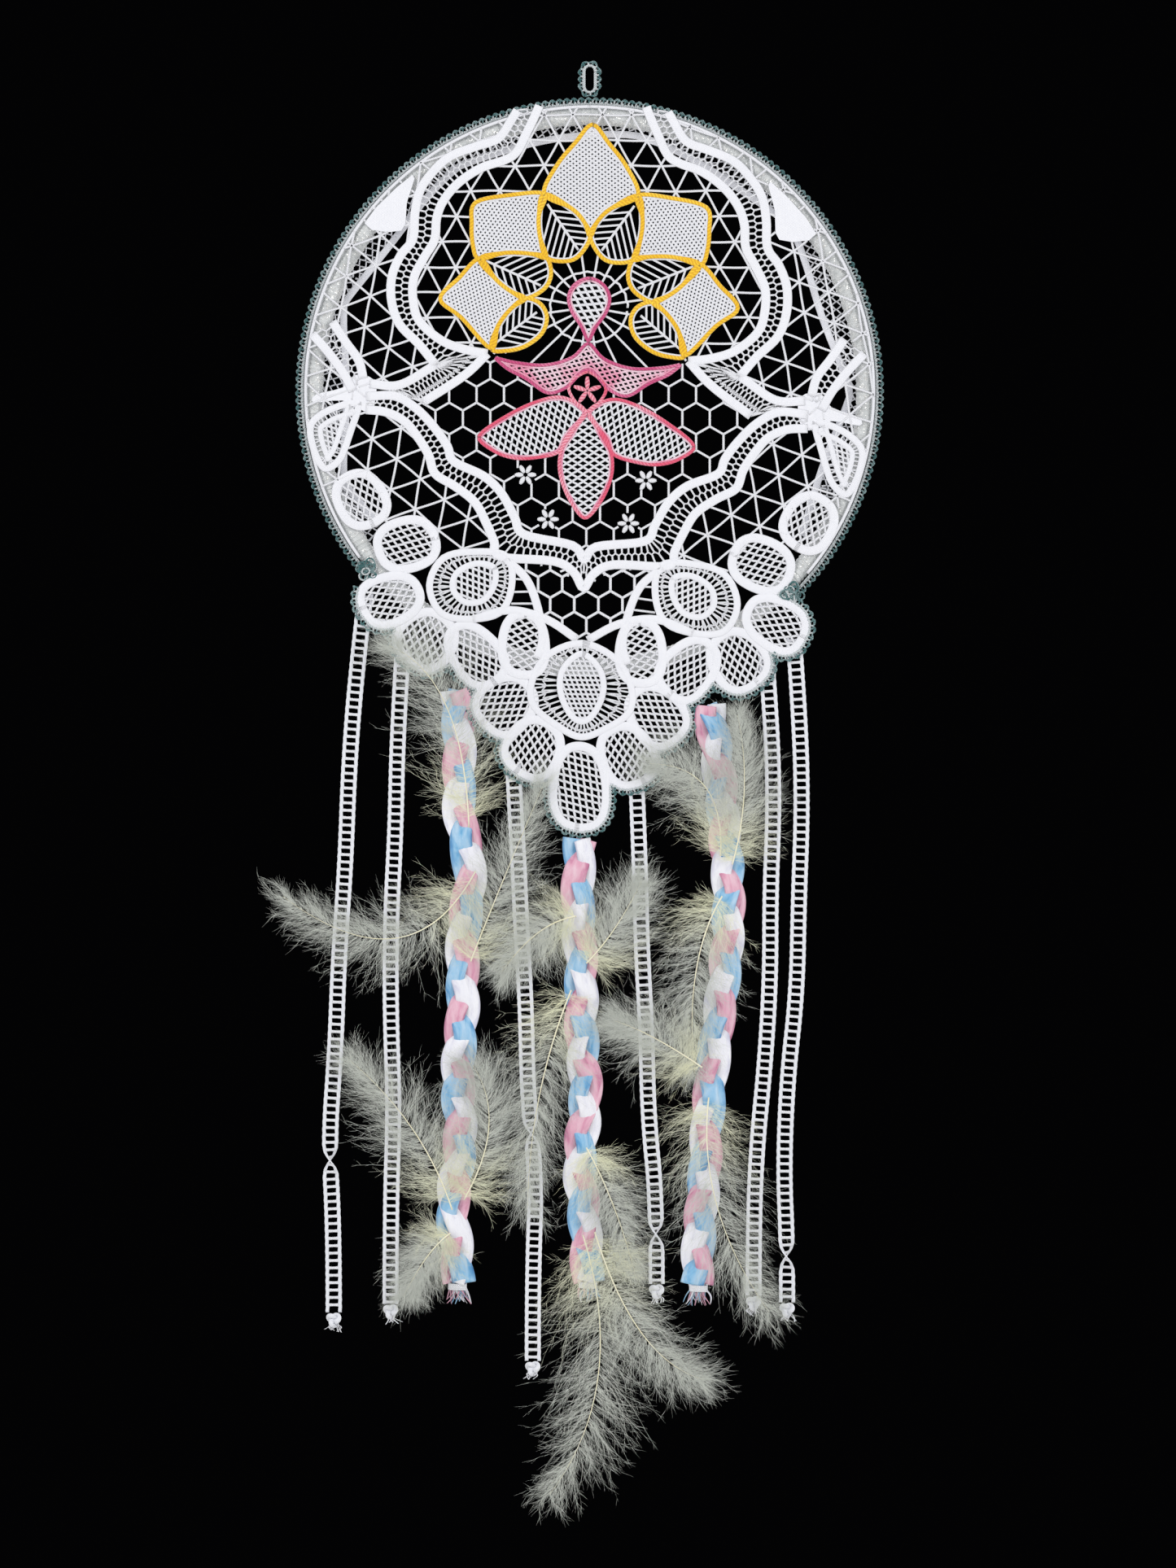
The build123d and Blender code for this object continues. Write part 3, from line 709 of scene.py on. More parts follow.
@dataclass(frozen=True)
class Panel:
    """How the panel hangs in the hoop, from the frame's own sizes."""

    middle: float
    scale: float
    tube: float
    lean: float = 0.040
    lean_change: float = 0.00017
    drift: float = -1.4
    drift_change: float = 0.0192
    hollow: float = 158.0
    slack: float = 0.8

    @staticmethod
    def from_frame() -> "Panel":
        """Reads the hoop's middle and size from its box.

        Returns:
            The panel.
        """
        low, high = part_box("hoop")
        tube = (high[1] - low[1]) / 2 / MM
        radius = (high[0] - low[0]) / 2 / MM - tube
        return Panel((low[2] + high[2]) / 2 / MM, radius / PATTERN_RADIUS, tube)

    def hung(self, points: Any) -> np.ndarray:
        """Places pattern points as the panel hangs, leaning and drifting a little to one side.

        Args:
            points: pattern points.

        Returns:
            Their places in the panel.
        """
        x, z = np.asarray(points, float).T
        lean = self.lean - self.lean_change * z
        drift = self.drift + self.drift_change * z
        return self.scale * np.column_stack([x + drift, z - lean * x])

    def form(self, points: Outline, closed: bool = True, steps: int = 5) -> np.ndarray:
        """Smooth line through pattern points, as the panel hangs."""
        return curved(self.hung(points), closed, steps)

    def relief(self, x: np.ndarray, z: np.ndarray) -> np.ndarray:
        """How far the slack lace falls back inside the hoop."""
        room = np.clip(1 - (np.hypot(x, z) / self.hollow) ** 4, 0, 1)
        return room * (self.slack * np.sin(x / 31 + 0.7) * np.sin(z / 26 + 0.4) + self.slack)


class Layer(float, Enum):
    """Places of the lace from back to front, in front of the hoop's middle plane."""

    BACK = -6.6
    EDGE = 6.5
    GROUND = 6.8
    TAPE = 7.1
    GIMP = 7.6


# ---------------------------------------------------------------- mesh making
class Threads:
    """Gathers threads, strips and plates into one mesh."""

    def __init__(self, panel: Panel) -> None:
        """Starts an empty mesh on a panel.

        Args:
            panel: how the panel hangs.
        """
        self.panel = panel
        self.points: list[np.ndarray] = []
        self.marks: dict[str, list[np.ndarray]] = {"along": [], "across": [], "tint": [], "place": []}
        self.faces: list[tuple[np.ndarray, int, bool]] = []
        self.count = 0

    def put(self, points: np.ndarray, faces: np.ndarray, slot: int, smooth: bool, **marks: np.ndarray) -> None:
        """Adds points and the faces between them.

        Args:
            points: places in millimetres.
            faces: rows of point numbers, counted from this call's first point.
            slot: which finish the faces take.
            smooth: whether they are shaded as one curved surface.
            marks: what the mesh keeps at each point.
        """
        self.points.append(points)
        for name, kept in self.marks.items():
            kept.append(np.broadcast_to(marks.get(name, 0.5), (len(points),)).astype(float))
        self.faces.append((faces + self.count, slot, smooth))
        self.count += len(points)

    def sweep(self, line: np.ndarray, sideways: np.ndarray, half_width: Any, half_depth: Any, sides: int = 6,
              closed: bool = False, slot: int = 0, square: float = 1.0, cup: float = 0.0) -> None:
        """Adds a solid strand along a line.

        Args:
            line: its middle, in three dimensions.
            sideways: direction of its width at each point.
            half_width: half its width, one for all or one for each point.
            half_depth: half its depth, likewise.
            sides: faces round it, an even number.
            closed: whether it comes back to its start.
            slot: which finish it takes.
            square: 1 for a round section, lower for a flatter one.
            cup: how far its two edges bend out of its plane.
        """
        count = len(line)
        if count < 2:
            return
        depth = unit(np.cross(headings(line, closed), sideways))
        turn = circle(sides)
        side, rise = boxy(np.cos(turn), square), boxy(np.sin(turn), square)
        wide = np.broadcast_to(half_width, (count,))[:, None, None] * side[None, :, None]
        deep = np.broadcast_to(half_depth, (count,))[:, None, None] * rise[None, :, None]
        rings = line[:, None] + sideways[:, None] * wide + depth[:, None] * (deep + cup * side[None, :, None] ** 2)
        rows = np.arange(count if closed else count - 1)[:, None]
        spots = np.arange(sides)[None]
        near, far = rows * sides, (rows + 1) % count * sides
        beyond = (spots + 1) % sides
        quads = np.stack([near + spots, near + beyond, far + beyond, far + spots], -1).reshape(-1, 4)
        if not closed:
            fans = np.array([[0, k, k + 1, k + 2] for k in range(1, sides - 1, 2)])
            quads = np.vstack([quads, fans[:, ::-1], fans + (count - 1) * sides])
        self.put(rings.reshape(-1, 3), quads, slot, True, along=np.repeat(paced(line), sides),
                 across=np.tile(side, count))

    def flat(self, line: Any, width: Any, front: float, depth: float = 0.7, closed: bool = False, sides: int = 6,
             slot: int = 0, square: float = 1.0) -> None:
        """Adds a strand that lies in the panel.

        Args:
            line: panel points.
            width: its width, one for all or one for each point.
            front: how far forward it lies.
            depth: its depth.
            closed: whether it comes back to its start.
            sides: faces round it.
            slot: which finish it takes.
            square: 1 for a round section, lower for a flatter one.
        """
        line = np.asarray(line, float)
        if len(line) < 2:
            return
        sideways = np.insert(left_of(headings(line, closed)), 1, 0, axis=1)
        self.sweep(self.stood(line, front), sideways, np.asarray(width) / 2, depth / 2, sides, closed, slot, square)

    def stood(self, line: np.ndarray, front: float) -> np.ndarray:
        """Panel points in space; those in front of the hoop follow the lace's relief.

        Args:
            line: the panel points.
            front: how far forward they lie.

        Returns:
            Their places in space.
        """
        x, z = line.T
        sag = self.panel.relief(x, z) if front > 0 else 0.0
        return np.column_stack([x, np.zeros(len(line)) - front + sag, z + self.panel.middle])

    def cloth(self, line: Any, width: Any, front: float, closed: bool = False, slot: int = 0) -> None:
        """Adds a woven strip along a panel line."""
        self.flat(line, width, front, 0.62, closed, 8, slot, 0.55)

    def plate(self, outline: np.ndarray, front: float, depth: float, slot: int = 0) -> None:
        """Adds a piece of cloth inside a closed outline.

        Args:
            outline: panel points.
            front: how far forward it lies.
            depth: its thickness.
            slot: which finish it takes.
        """
        count = len(outline)
        x, z = outline.T
        points = np.vstack([self.stood(outline, front) + DEEP * step for step in (-depth / 2, depth / 2)])
        fill = np.array(tessellate_polygon([[Vector((px, pz, 0)) for px, pz in outline]]))
        spots = np.arange(count)
        walls = np.stack([spots, (spots + 1) % count, (spots + 1) % count + count, spots + count], -1)
        marks = {"along": np.tile(z, 2), "across": np.tile(x / 2.8, 2)}
        self.put(points, np.vstack([fill, fill[:, ::-1] + count]), slot, False, **marks)
        self.faces.append((walls + self.count - len(points), slot, False))

    def ribbons(self, lines: np.ndarray, sideways: np.ndarray, widths: np.ndarray, slot: int, tint: np.ndarray,
                place: np.ndarray) -> None:
        """Adds many thin flat hairs at once.

        Args:
            lines: hairs, points and three dimensions.
            sideways: direction of each point's width.
            widths: width at each point.
            slot: which finish they take.
            tint: a number from 0 to 1 for each hair.
            place: where on the feather each hair grows, from 0 to 1.
        """
        hairs, steps, _ = lines.shape
        half = sideways * widths[..., None] / 2
        points = np.stack([lines - half, lines + half], axis=2).reshape(-1, 3)
        base = (np.arange(hairs)[:, None] * steps + np.arange(steps - 1)[None]) * 2
        quads = np.stack([base, base + 1, base + 3, base + 2], -1).reshape(-1, 4)
        run = np.tile(np.repeat(np.linspace(0, 1, steps), 2), hairs)
        self.put(points, quads, slot, True, along=run, across=np.tile([-1.0, 1.0], hairs * steps),
                 tint=np.repeat(tint, steps * 2), place=np.repeat(place, steps * 2))

    def piece(self, name: str, finishes: Sequence[Finish], body: str, nodes: Sequence[str]) -> bpy.types.Object:
        """Makes the object, puts it on its body and lets it stand for its solids.

        Args:
            name: the object's name.
            finishes: one for each slot number used.
            body: the body it moves with.
            nodes: the solids it stands for.

        Returns:
            The object.
        """
        mesh = bpy.data.meshes.new(name)
        points = np.vstack(self.points) * MM
        mesh.vertices.add(len(points))
        mesh.vertices.foreach_set("co", points.ravel())
        corners = np.concatenate([faces.ravel() for faces, _, _ in self.faces])
        sizes = np.concatenate([np.full(len(faces), faces.shape[1]) for faces, _, _ in self.faces])
        mesh.loops.add(len(corners))
        mesh.loops.foreach_set("vertex_index", corners.astype(np.int32))
        mesh.polygons.add(len(sizes))
        mesh.polygons.foreach_set("loop_start", np.concatenate([[0], np.cumsum(sizes)[:-1]]).astype(np.int32))
        slots = np.concatenate([np.full(len(faces), number) for faces, number, _ in self.faces])
        smooth = np.concatenate([np.full(len(faces), kept) for faces, _, kept in self.faces])
        mesh.polygons.foreach_set("material_index", slots.astype(np.int32))
        mesh.polygons.foreach_set("use_smooth", smooth)
        for mark, kept in self.marks.items():
            values = np.concatenate(kept).astype(np.float32)
            mesh.attributes.new(mark, "FLOAT", "POINT").data.foreach_set("value", values)
        mesh.update(calc_edges=True)
        mesh.validate()
        for finish in finishes:
            mesh.materials.append(finish.value.material())
        made = bpy.data.objects.new(name, mesh)
        bpy.context.scene.collection.objects.link(made)
        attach(made, body)
        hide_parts(*nodes)
        log.info("%s: %d faces on %s", name, len(sizes), body)
        return made


@dataclass(frozen=True)
class Net:
    """Net of zigzag threads that touch in turn, which leaves staggered holes."""

    pitch: float
    hole: float
    thread: float
    turn: float = 0.0
    depth: float = 0.55
    loose: float = 0.0
    overlap: float = 0.55
    corner: float = 0.16

    def swing(self) -> float:
        """How far a thread swings to each side, so that it meets the next one."""
        return (self.pitch - self.overlap * self.thread) / 2

    def weave(self, threads: Threads, region: Region, around: np.ndarray, front: float, slot: int = 0) -> None:
        """Fills a region.

        Args:
            threads: the mesh to add to.
            region: where the net shows.
            around: an outline that the region doesn't leave.
            front: how far forward it lies.
            slot: which finish it takes.
        """
        along = polar(math.radians(self.turn))
        middle = around.mean(axis=0)
        span = np.linalg.norm(around - middle, axis=1).max()
        rows, steps = int(span / self.pitch) + 1, int(span / self.hole * 2) + 2
        marks = np.arange(-steps, steps + 1)
        corners = np.tile([-self.corner, self.corner], len(marks))
        u = np.repeat(marks * self.hole / 2, 2) + corners * self.hole / 2
        for row in range(-rows, rows + 1):
            sway = np.repeat(np.where((marks + row) % 2 == 0, self.swing(), -self.swing()), 2)
            sway = sway * (1 + self.loose * np.sin(u * 0.9 + row * 2.3)) + self.loose * np.sin(u * 0.4 + row)
            line = middle + u[:, None] * along + (row * self.pitch + sway)[:, None] * left_of(along)
            for run in region.runs(line):
                threads.flat(run, self.thread, front, self.depth, slot=slot)


FACING_STEP = 0.7
FACING_SPREAD = 15


def facing_pairs(one: np.ndarray, other: np.ndarray, step: float) -> tuple[np.ndarray, np.ndarray]:
    """Points of two lines that face each other.

    Args:
        one: a line.
        other: the line beside it, running the same way.
        step: distance between two pairs, along the gap's middle.

    Returns:
        The points on each line.
    """
    one, other = even(one, FACING_STEP), even(other, FACING_STEP)
    apart = np.linalg.norm(one[:, None] - other[None], axis=2)
    pairs = {(0, 0), (len(one) - 1, len(other) - 1)}
    pairs |= set(enumerate(np.maximum.accumulate(apart.argmin(axis=1))))
    pairs |= {(i, j) for j, i in enumerate(np.maximum.accumulate(apart.argmin(axis=0)))}
    steps = np.array(sorted(pairs, key=lambda pair: (pair[0] + pair[1], pair[0])), float)
    smooth = np.ones(FACING_SPREAD) / FACING_SPREAD
    padded = np.pad(steps, ((FACING_SPREAD // 2,) * 2, (0, 0)), mode="edge")
    steps = np.column_stack([np.convolve(padded[:, k], smooth, "valid") for k in range(2)])
    both = np.column_stack([np.interp(steps[:, side], np.arange(len(line)), line[:, axis])
                            for side, line in ((0, one), (1, other)) for axis in (0, 1)])
    walked = paced(both[:, :2] + both[:, 2:]) / 2
    pairs = spaced(both, walked, max(3, int(walked[-1] / step)))
    return pairs[:, :2], pairs[:, 2:]


def ladder(threads: Threads, one: np.ndarray, other: np.ndarray, pitch: float, width: float, front: float,
           rows: int = 2, slot: int = 0) -> None:
    """Fills the gap between two strips with staggered rungs and the trail between them.

    Args:
        threads: the mesh to add to.
        one: middle line of a strip.
        other: middle line of the strip beside it, running the same way.
        pitch: distance between two rungs of a row.
        width: width of a rung.
        front: how far forward they lie.
        rows: rows of holes.
        slot: which finish they take.
    """
    first, second = facing_pairs(one, other, pitch / 2)
    count = len(first)
    for row in range(rows):
        near = first + (second - first) * row / rows
        far = first + (second - first) * (row + 1) / rows
        for index in range(row % 2, count, 2):
            threads.flat([near[index], far[index]], width, front, 0.6, slot=slot)
    for row in range(1, rows):
        sway = np.where(np.arange(count) % 2 == 0, -0.06, 0.06)[:, None]
        threads.flat(first + (second - first) * (row / rows + sway), width, front, 0.65, slot=slot)


def star_lines(turn: float, pitch: float, middle: Point, span: float) -> list[np.ndarray]:
    """Three families of bars that cross in six-armed stars.

    Args:
        turn: lean of the first family in degrees.
        pitch: distance between two stars.
        middle: a star's place.
        span: how far the bars reach.

    Returns:
        The bars, with points close together.
    """
    lines = []
    row = pitch * math.sqrt(3) / 2
    rows = int(span / row) + 1
    u = np.arange(-span, span, 2.5)
    for family in range(3):
        along = polar(math.radians(turn + 60 * family))
        for index in range(-rows, rows + 1):
            wander = 0.35 * np.sin(u / 7.0 + index * 1.7 + family)
            lines.append(np.array(middle) + u[:, None] * along + (index * row + wander)[:, None] * left_of(along))
    return lines


def comb_lines(apothem: float, middle: Point, span: float) -> list[np.ndarray]:
    """Bars of a honeycomb.

    Args:
        apothem: half the width of a cell.
        middle: a cell's middle.
        span: how far the cells reach.

    Returns:
        One short bar for each side of a cell.
    """
    side = 2 * apothem / math.sqrt(3)
    bars = []
    rows = int(span / (1.5 * side)) + 1
    columns = int(span / (2 * apothem)) + 1
    for row in range(-rows, rows + 1):
        for column in range(-columns, columns + 1):
            cx = middle[0] + 2 * apothem * (column + (row % 2) / 2)
            cz = middle[1] + 1.5 * side * row
            corners = [(cx + side * math.sin(math.radians(60 * k)), cz + side * math.cos(math.radians(60 * k)))
                       for k in range(4)]
            for a, b in zip(corners, corners[1:]):
                bars.append(even(np.array([a, b]), 1.3))
    return bars


# ---------------------------------------------------------------- lace pattern, left half
UPPER_OUTER = [(-45, 167), (-48, 162), (-56, 150), (-69, 145), (-84, 139), (-94, 130), (-102, 118), (-105, 104),
               (-106, 88), (-113, 78), (-118, 65), (-118, 50), (-113, 36), (-101, 24), (-91, 12)]
UPPER_INNER = [(-32, 170), (-34, 165), (-39, 154), (-45, 142), (-52, 137), (-66, 132), (-79, 123), (-88, 112),
               (-92, 101), (-93, 88), (-99, 77), (-105, 64), (-105, 50), (-101, 38), (-88, 27), (-74, 22),
               (-60, 20)]
NOTCH_OUTER = [(-91, 12), (-112, -1), (-130, -1)]
NOTCH_INNER = [(-60, 20), (-74, 6), (-98, -11)]
LOWER_INNER = [(-132, -9), (-115, -8), (-102, -15), (-91, -26), (-83, -37), (-79, -46), (-61, -54),
               (-50, -64), (-42, -78), (-36, -88), (-7, -93), (0, -101)]
LOWER_OUTER = [(-132, -17), (-120, -18), (-109, -23), (-101, -32), (-94, -43), (-90, -54), (-78, -61),
               (-66, -70), (-59, -82), (-54, -93), (-50, -102), (-18, -103), (-6, -109), (0, -118)]
SIDE_INNER = [(-153, 36), (-145, 24), (-137, 13), (-134, 2)]
SIDE_OUTER = [(-165, 28), (-155, 17), (-146, 5), (-140, -6)]
GUSSET = [(-107, 127), (-135, 97), (-113, 93), (-110, 110)]
HOOP_LEAF = [(-135, -12), (-152, -15), (-166, -26), (-165, -42), (-157, -56), (-146, -50), (-139, -31)]

PETAL_TOP = [(0, 159), (-10, 148), (-21, 134), (-28, 117), (-12, 109), (-4, 101), (0, 92)]
LEAF_HIGH = [(-28, 117), (-31, 104), (-30, 91), (-26, 79), (-14, 77), (-6, 81), (0, 92), (-4, 101), (-12, 109)]
SQUARE_HIGH = [(-28, 117), (-48, 116), (-69, 111), (-71, 98), (-70, 85), (-66, 77), (-51, 81), (-36, 81),
               (-26, 79), (-30, 91), (-31, 104)]
LEAF_MID = [(-66, 77), (-51, 81), (-36, 81), (-26, 79), (-23, 69), (-27, 60), (-38, 54), (-47, 58), (-56, 65)]
SQUARE_LOW = [(-66, 77), (-78, 65), (-89, 52), (-76, 41), (-58, 23), (-54, 37), (-46, 48), (-38, 54),
              (-47, 58), (-56, 65)]
LEAF_LOW = [(-58, 23), (-54, 37), (-46, 48), (-38, 54), (-29, 51), (-25, 43), (-28, 33), (-38, 25), (-49, 22)]
LEAF_RIBS = [(LEAF_HIGH, (-26, 111), (-7, 84)), (LEAF_MID, (-62, 76), (-29, 62)), (LEAF_LOW, (-56, 26), (-31, 46))]

TEARDROP = [(0, 68), (-9, 64), (-13, 56), (-11, 47), (-5, 38), (0, 29)]
CRESCENT = [(0, 29), (-10, 20), (-26, 15), (-44, 16), (-56, 18), (-49, 11), (-37, 5), (-24, -3), (-12, 1), (0, 12)]
STAR = [(0, 12), (-12, 1), (0, -13)]
PETAL_SIDE = [(-65, -30), (-49, -17), (-30, -7), (-14, -4), (0, -13), (-11, -28), (-16, -38), (-29, -42),
              (-43, -43), (-56, -39)]
PETAL_LOW = [(0, -13), (-11, -28), (-16, -38), (-16, -51), (-10, -66), (0, -77)]

FAN_OUTLINE = [(-46, -102), (-65, -100), (-84, -105), (-92, -122), (-85, -138), (-69, -141), (-50, -136), (-43, -120)]
FAN_RING = [(-53, -108), (-65, -106), (-77, -113), (-79, -124), (-71, -132), (-59, -130), (-52, -119)]
CREST_OUTLINE = [(0, -151), (-21, -160), (-30, -177), (-28, -191), (-13, -202), (0, -207)]
CREST_PETAL = [(0, -156), (-12, -166), (-14, -180), (-8, -194), (0, -199)]
SWAG_DOWN = [(-47, -103), (-34, -115), (-27, -132), (-24, -150), (-27, -162)]
SWAG_BARS = [[(-43, -107), (-39, -109)], [(-43, -115), (-34, -115)], [(-43, -123), (-31, -122)],
             [(-43, -130), (-28, -129)]]
SWAG_OVER = [(-66, -141), (-44, -134), (-22, -138), (-3, -149)]
WELL = [(0, 96), (-14, 79), (-26, 74), (-30, 60), (-36, 52), (-28, 44), (-30, 32), (-40, 24), (-52, 18),
        (-26, 14), (0, 24)]
JOIN = [(-146, -4), (-139, 4), (-127, 1), (-127, -13), (-133, -18), (-146, -12), (-163, -14), (-162, -9)]
LOBES_ROOM = [(-48, -102), (-65, -100), (-84, -105), (-100, -86), (-118, -88), (-125, -62), (-150, -62),
              (-170, -90), (-120, -170), (0, -175), (0, -118)]
MIDDLE_WINDOW = [(0, 12), (-12, 1), (-37, 5), (-60, 20)] + NOTCH_INNER[1:] + LOWER_INNER[1:]

LOBES = [((-134, -72), 18.5, 16.5, -60, 0.05), ((-106, -98), 20, 17, 20, 0.0), ((-115, -132), 20.5, 16.5, 205, 0.1),
         ((-93, -155), 19.5, 18.5, 230, 0.1), ((-64, -162), 22, 16.5, -50, 0.14), ((-35, -154), 21, 15.5, 90, -0.08),
         ((-45, -191), 20.5, 18, 225, 0.12), ((-28, -216), 20, 18, 240, 0.1), ((0, -237), 27, 18.5, 270, 0.1)]
ROSETTES = [(-36, -52), (-22, -78), (36, -52), (26, -78)]


class Side(Enum):
    """Halves of the panel."""

    LEFT = "left"
    RIGHT = "right"

    def flip(self, points: Sequence[Point]) -> Outline:
        """Pattern points on this half."""
        return list(points) if self is Side.LEFT else across(points)

    def turn(self, degrees: float) -> float:
        """A lean on this half."""
        return degrees if self is Side.LEFT else -degrees


# ---------------------------------------------------------------- hoop and edging
@dataclass
class Hoop:
    """Hoop wound with glitter yarn."""

    panel: Panel
    winding: float = 2.7
    ridge: float = 0.22

    def build(self) -> bpy.types.Object:
        """Builds the wound ring.

        Returns:
            Its object.
        """
        radius = PATTERN_RADIUS * self.panel.scale
        turns = int(2 * math.pi * radius / self.winding)
        around, sides = turns * 6, 20
        way, turn = circle(around), circle(sides)
        lay = way[:, None] * turns + turn
        uneven = 0.12 * np.sin(way * 37)[:, None] * np.cos(turn * 2 + 1)[None] + 0.1 * np.sin(way * 61 + 2)[:, None]
        tube = self.panel.tube - 0.45 - self.ridge + self.ridge * np.cos(lay) + uneven
        out = radius + tube * np.cos(turn)[None]
        points = np.stack([out * np.cos(way)[:, None], tube * np.sin(turn)[None],
                           self.panel.middle + out * np.sin(way)[:, None]], -1)
        i, j = np.arange(around)[:, None], np.arange(sides)[None]
        near, far = i * sides, (i + 1) % around * sides
        quads = np.stack([near + j, far + j, far + (j + 1) % sides, near + (j + 1) % sides], -1).reshape(-1, 4)
        threads = Threads(self.panel)
        threads.put(points.reshape(-1, 3), quads, 0, True, along=np.repeat(way * radius, sides),
                    across=np.tile(turn / np.pi, around))
        return threads.piece("hoop_winding", [Finish.GLITTER], "hoop_and_lace", ["hoop"])


def crochet(threads: Threads, line: np.ndarray, out: float, front: float, reach: float = 2.9,
            closed: bool = False, pitch: float = 2.15) -> None:
    """Adds a crocheted picot edge along a line.

    Args:
        threads: the mesh to add to; slot 0 is white and slot 1 is teal.
        line: the stitches' line in the panel, evenly spaced.
        out: 1 where the picots stand to the line's left, -1 to its right.
        front: how far forward it lies.
        reach: how far the picots stand out.
        closed: whether it comes back to its start.
        pitch: distance between two stitches.
    """
    line = even(line, pitch / 4, closed)
    way = headings(line, closed)
    aside = left_of(way) * out
    index = np.arange(len(line))
    wave = np.cos(index * np.pi / 4)
    threads.flat(line + aside * (0.25 * np.sin(index * np.pi / 2))[:, None], 1.5, front, 1.5, closed)
    picots = line + aside * (reach + 0.5 * wave)[:, None]
    threads.flat(picots, 1.15 + 0.35 * wave, front - 0.2, 1.2, closed, slot=1)
    for start in range(0, len(line), 4):
        end = min(start + 1, len(line) - 1)
        threads.flat([line[start], picots[end]], 0.95, front + 0.1, 0.95, slot=0 if start % 8 else 1)


@dataclass
class CrochetEdging:
    """Picot edging round the hoop, and the teal yarn that ties its two ends."""

    panel: Panel
    start: float = 219.0
    stop: float = -45.0
    stitch_radius: float = 172.2
    wall_radius: float = 171.6
    posts: int = 250
    post_half: float = 0.004
    tangle_loops: int = 16

    def build(self) -> bpy.types.Object:
        """Builds the edging.

        Returns:
            Its object.
        """
        threads = Threads(self.panel)
        way = np.radians(np.linspace(self.start, self.stop, 700))
        radius = self.stitch_radius * self.panel.scale
        ring = radius * polar(way)
        crochet(threads, ring, 1.0, 1.0)
        threads.flat(even(ring * (self.wall_radius / self.stitch_radius), 2.0), 0.9, 3.2, 5.0)
        for spot in np.linspace(0, len(way) - 1, self.posts).astype(int):
            threads.flat([ring[spot] * (1 - self.post_half), ring[spot] * (1 + self.post_half)], 1.1, 4.4, 4.6)
        rng = np.random.default_rng(11)
        for angle in (self.start, self.stop):
            self.tangle(threads, polar(math.radians(angle)) * (radius - 1.5), rng)
        return threads.piece("crochet_picots", [Finish.CROCHET, Finish.TEAL], "hoop_and_lace", ["crochet_edging"])

    def tangle(self, threads: Threads, middle: np.ndarray, rng: np.random.Generator) -> None:
        """Adds a knot of teal loops.

        Args:
            threads: the mesh to add to.
            middle: its place in the panel.
            rng: where its unevenness comes from.
        """
        for loop in range(self.tangle_loops):
            wide, high, lean = rng.uniform(1.6, 4.2), rng.uniform(1.2, 3.4), rng.uniform(0, np.pi)
            x, z = (polar(circle(14)) * [wide, high]).T[..., None]
            line = middle + rng.normal(0, 2.2, 2) + x * polar(lean) + z * left_of(polar(lean))
            threads.flat(line, 1.0, 7.0 + rng.uniform(-0.8, 0.9), 1.0, True, slot=0 if loop % 4 == 0 else 1)


@dataclass
class HangingLoop:
    """Crocheted loop that hangs on a hook."""

    panel: Panel
    inset: float = 3.3
    reach: float = 2.2

    def build(self) -> bpy.types.Object:
        """Builds the loop from its solid's box.

        Returns:
            Its object.
        """
        low, high = (np.array(corner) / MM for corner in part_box("hanging_loop"))
        half, top, foot = (high[0] - low[0]) / 2, high[2] - self.panel.middle, low[2] - self.panel.middle
        turn = np.linspace(0, np.pi, 14)
        threads = Threads(self.panel)
        arc = (half - self.inset) * polar(turn)
        line = np.vstack([arc + [0, top - half], [0, foot + half] - arc])
        crochet(threads, even(line, 0.7, True), -1.0, 0.0, self.reach, True, 2.0)
        threads.flat(even(line * [0.86, 1.0], 0.6, True), 1.3, 0.5, 1.3, True)
        return threads.piece("loop_crochet", [Finish.CROCHET, Finish.TEAL], "loop", ["hanging_loop"])


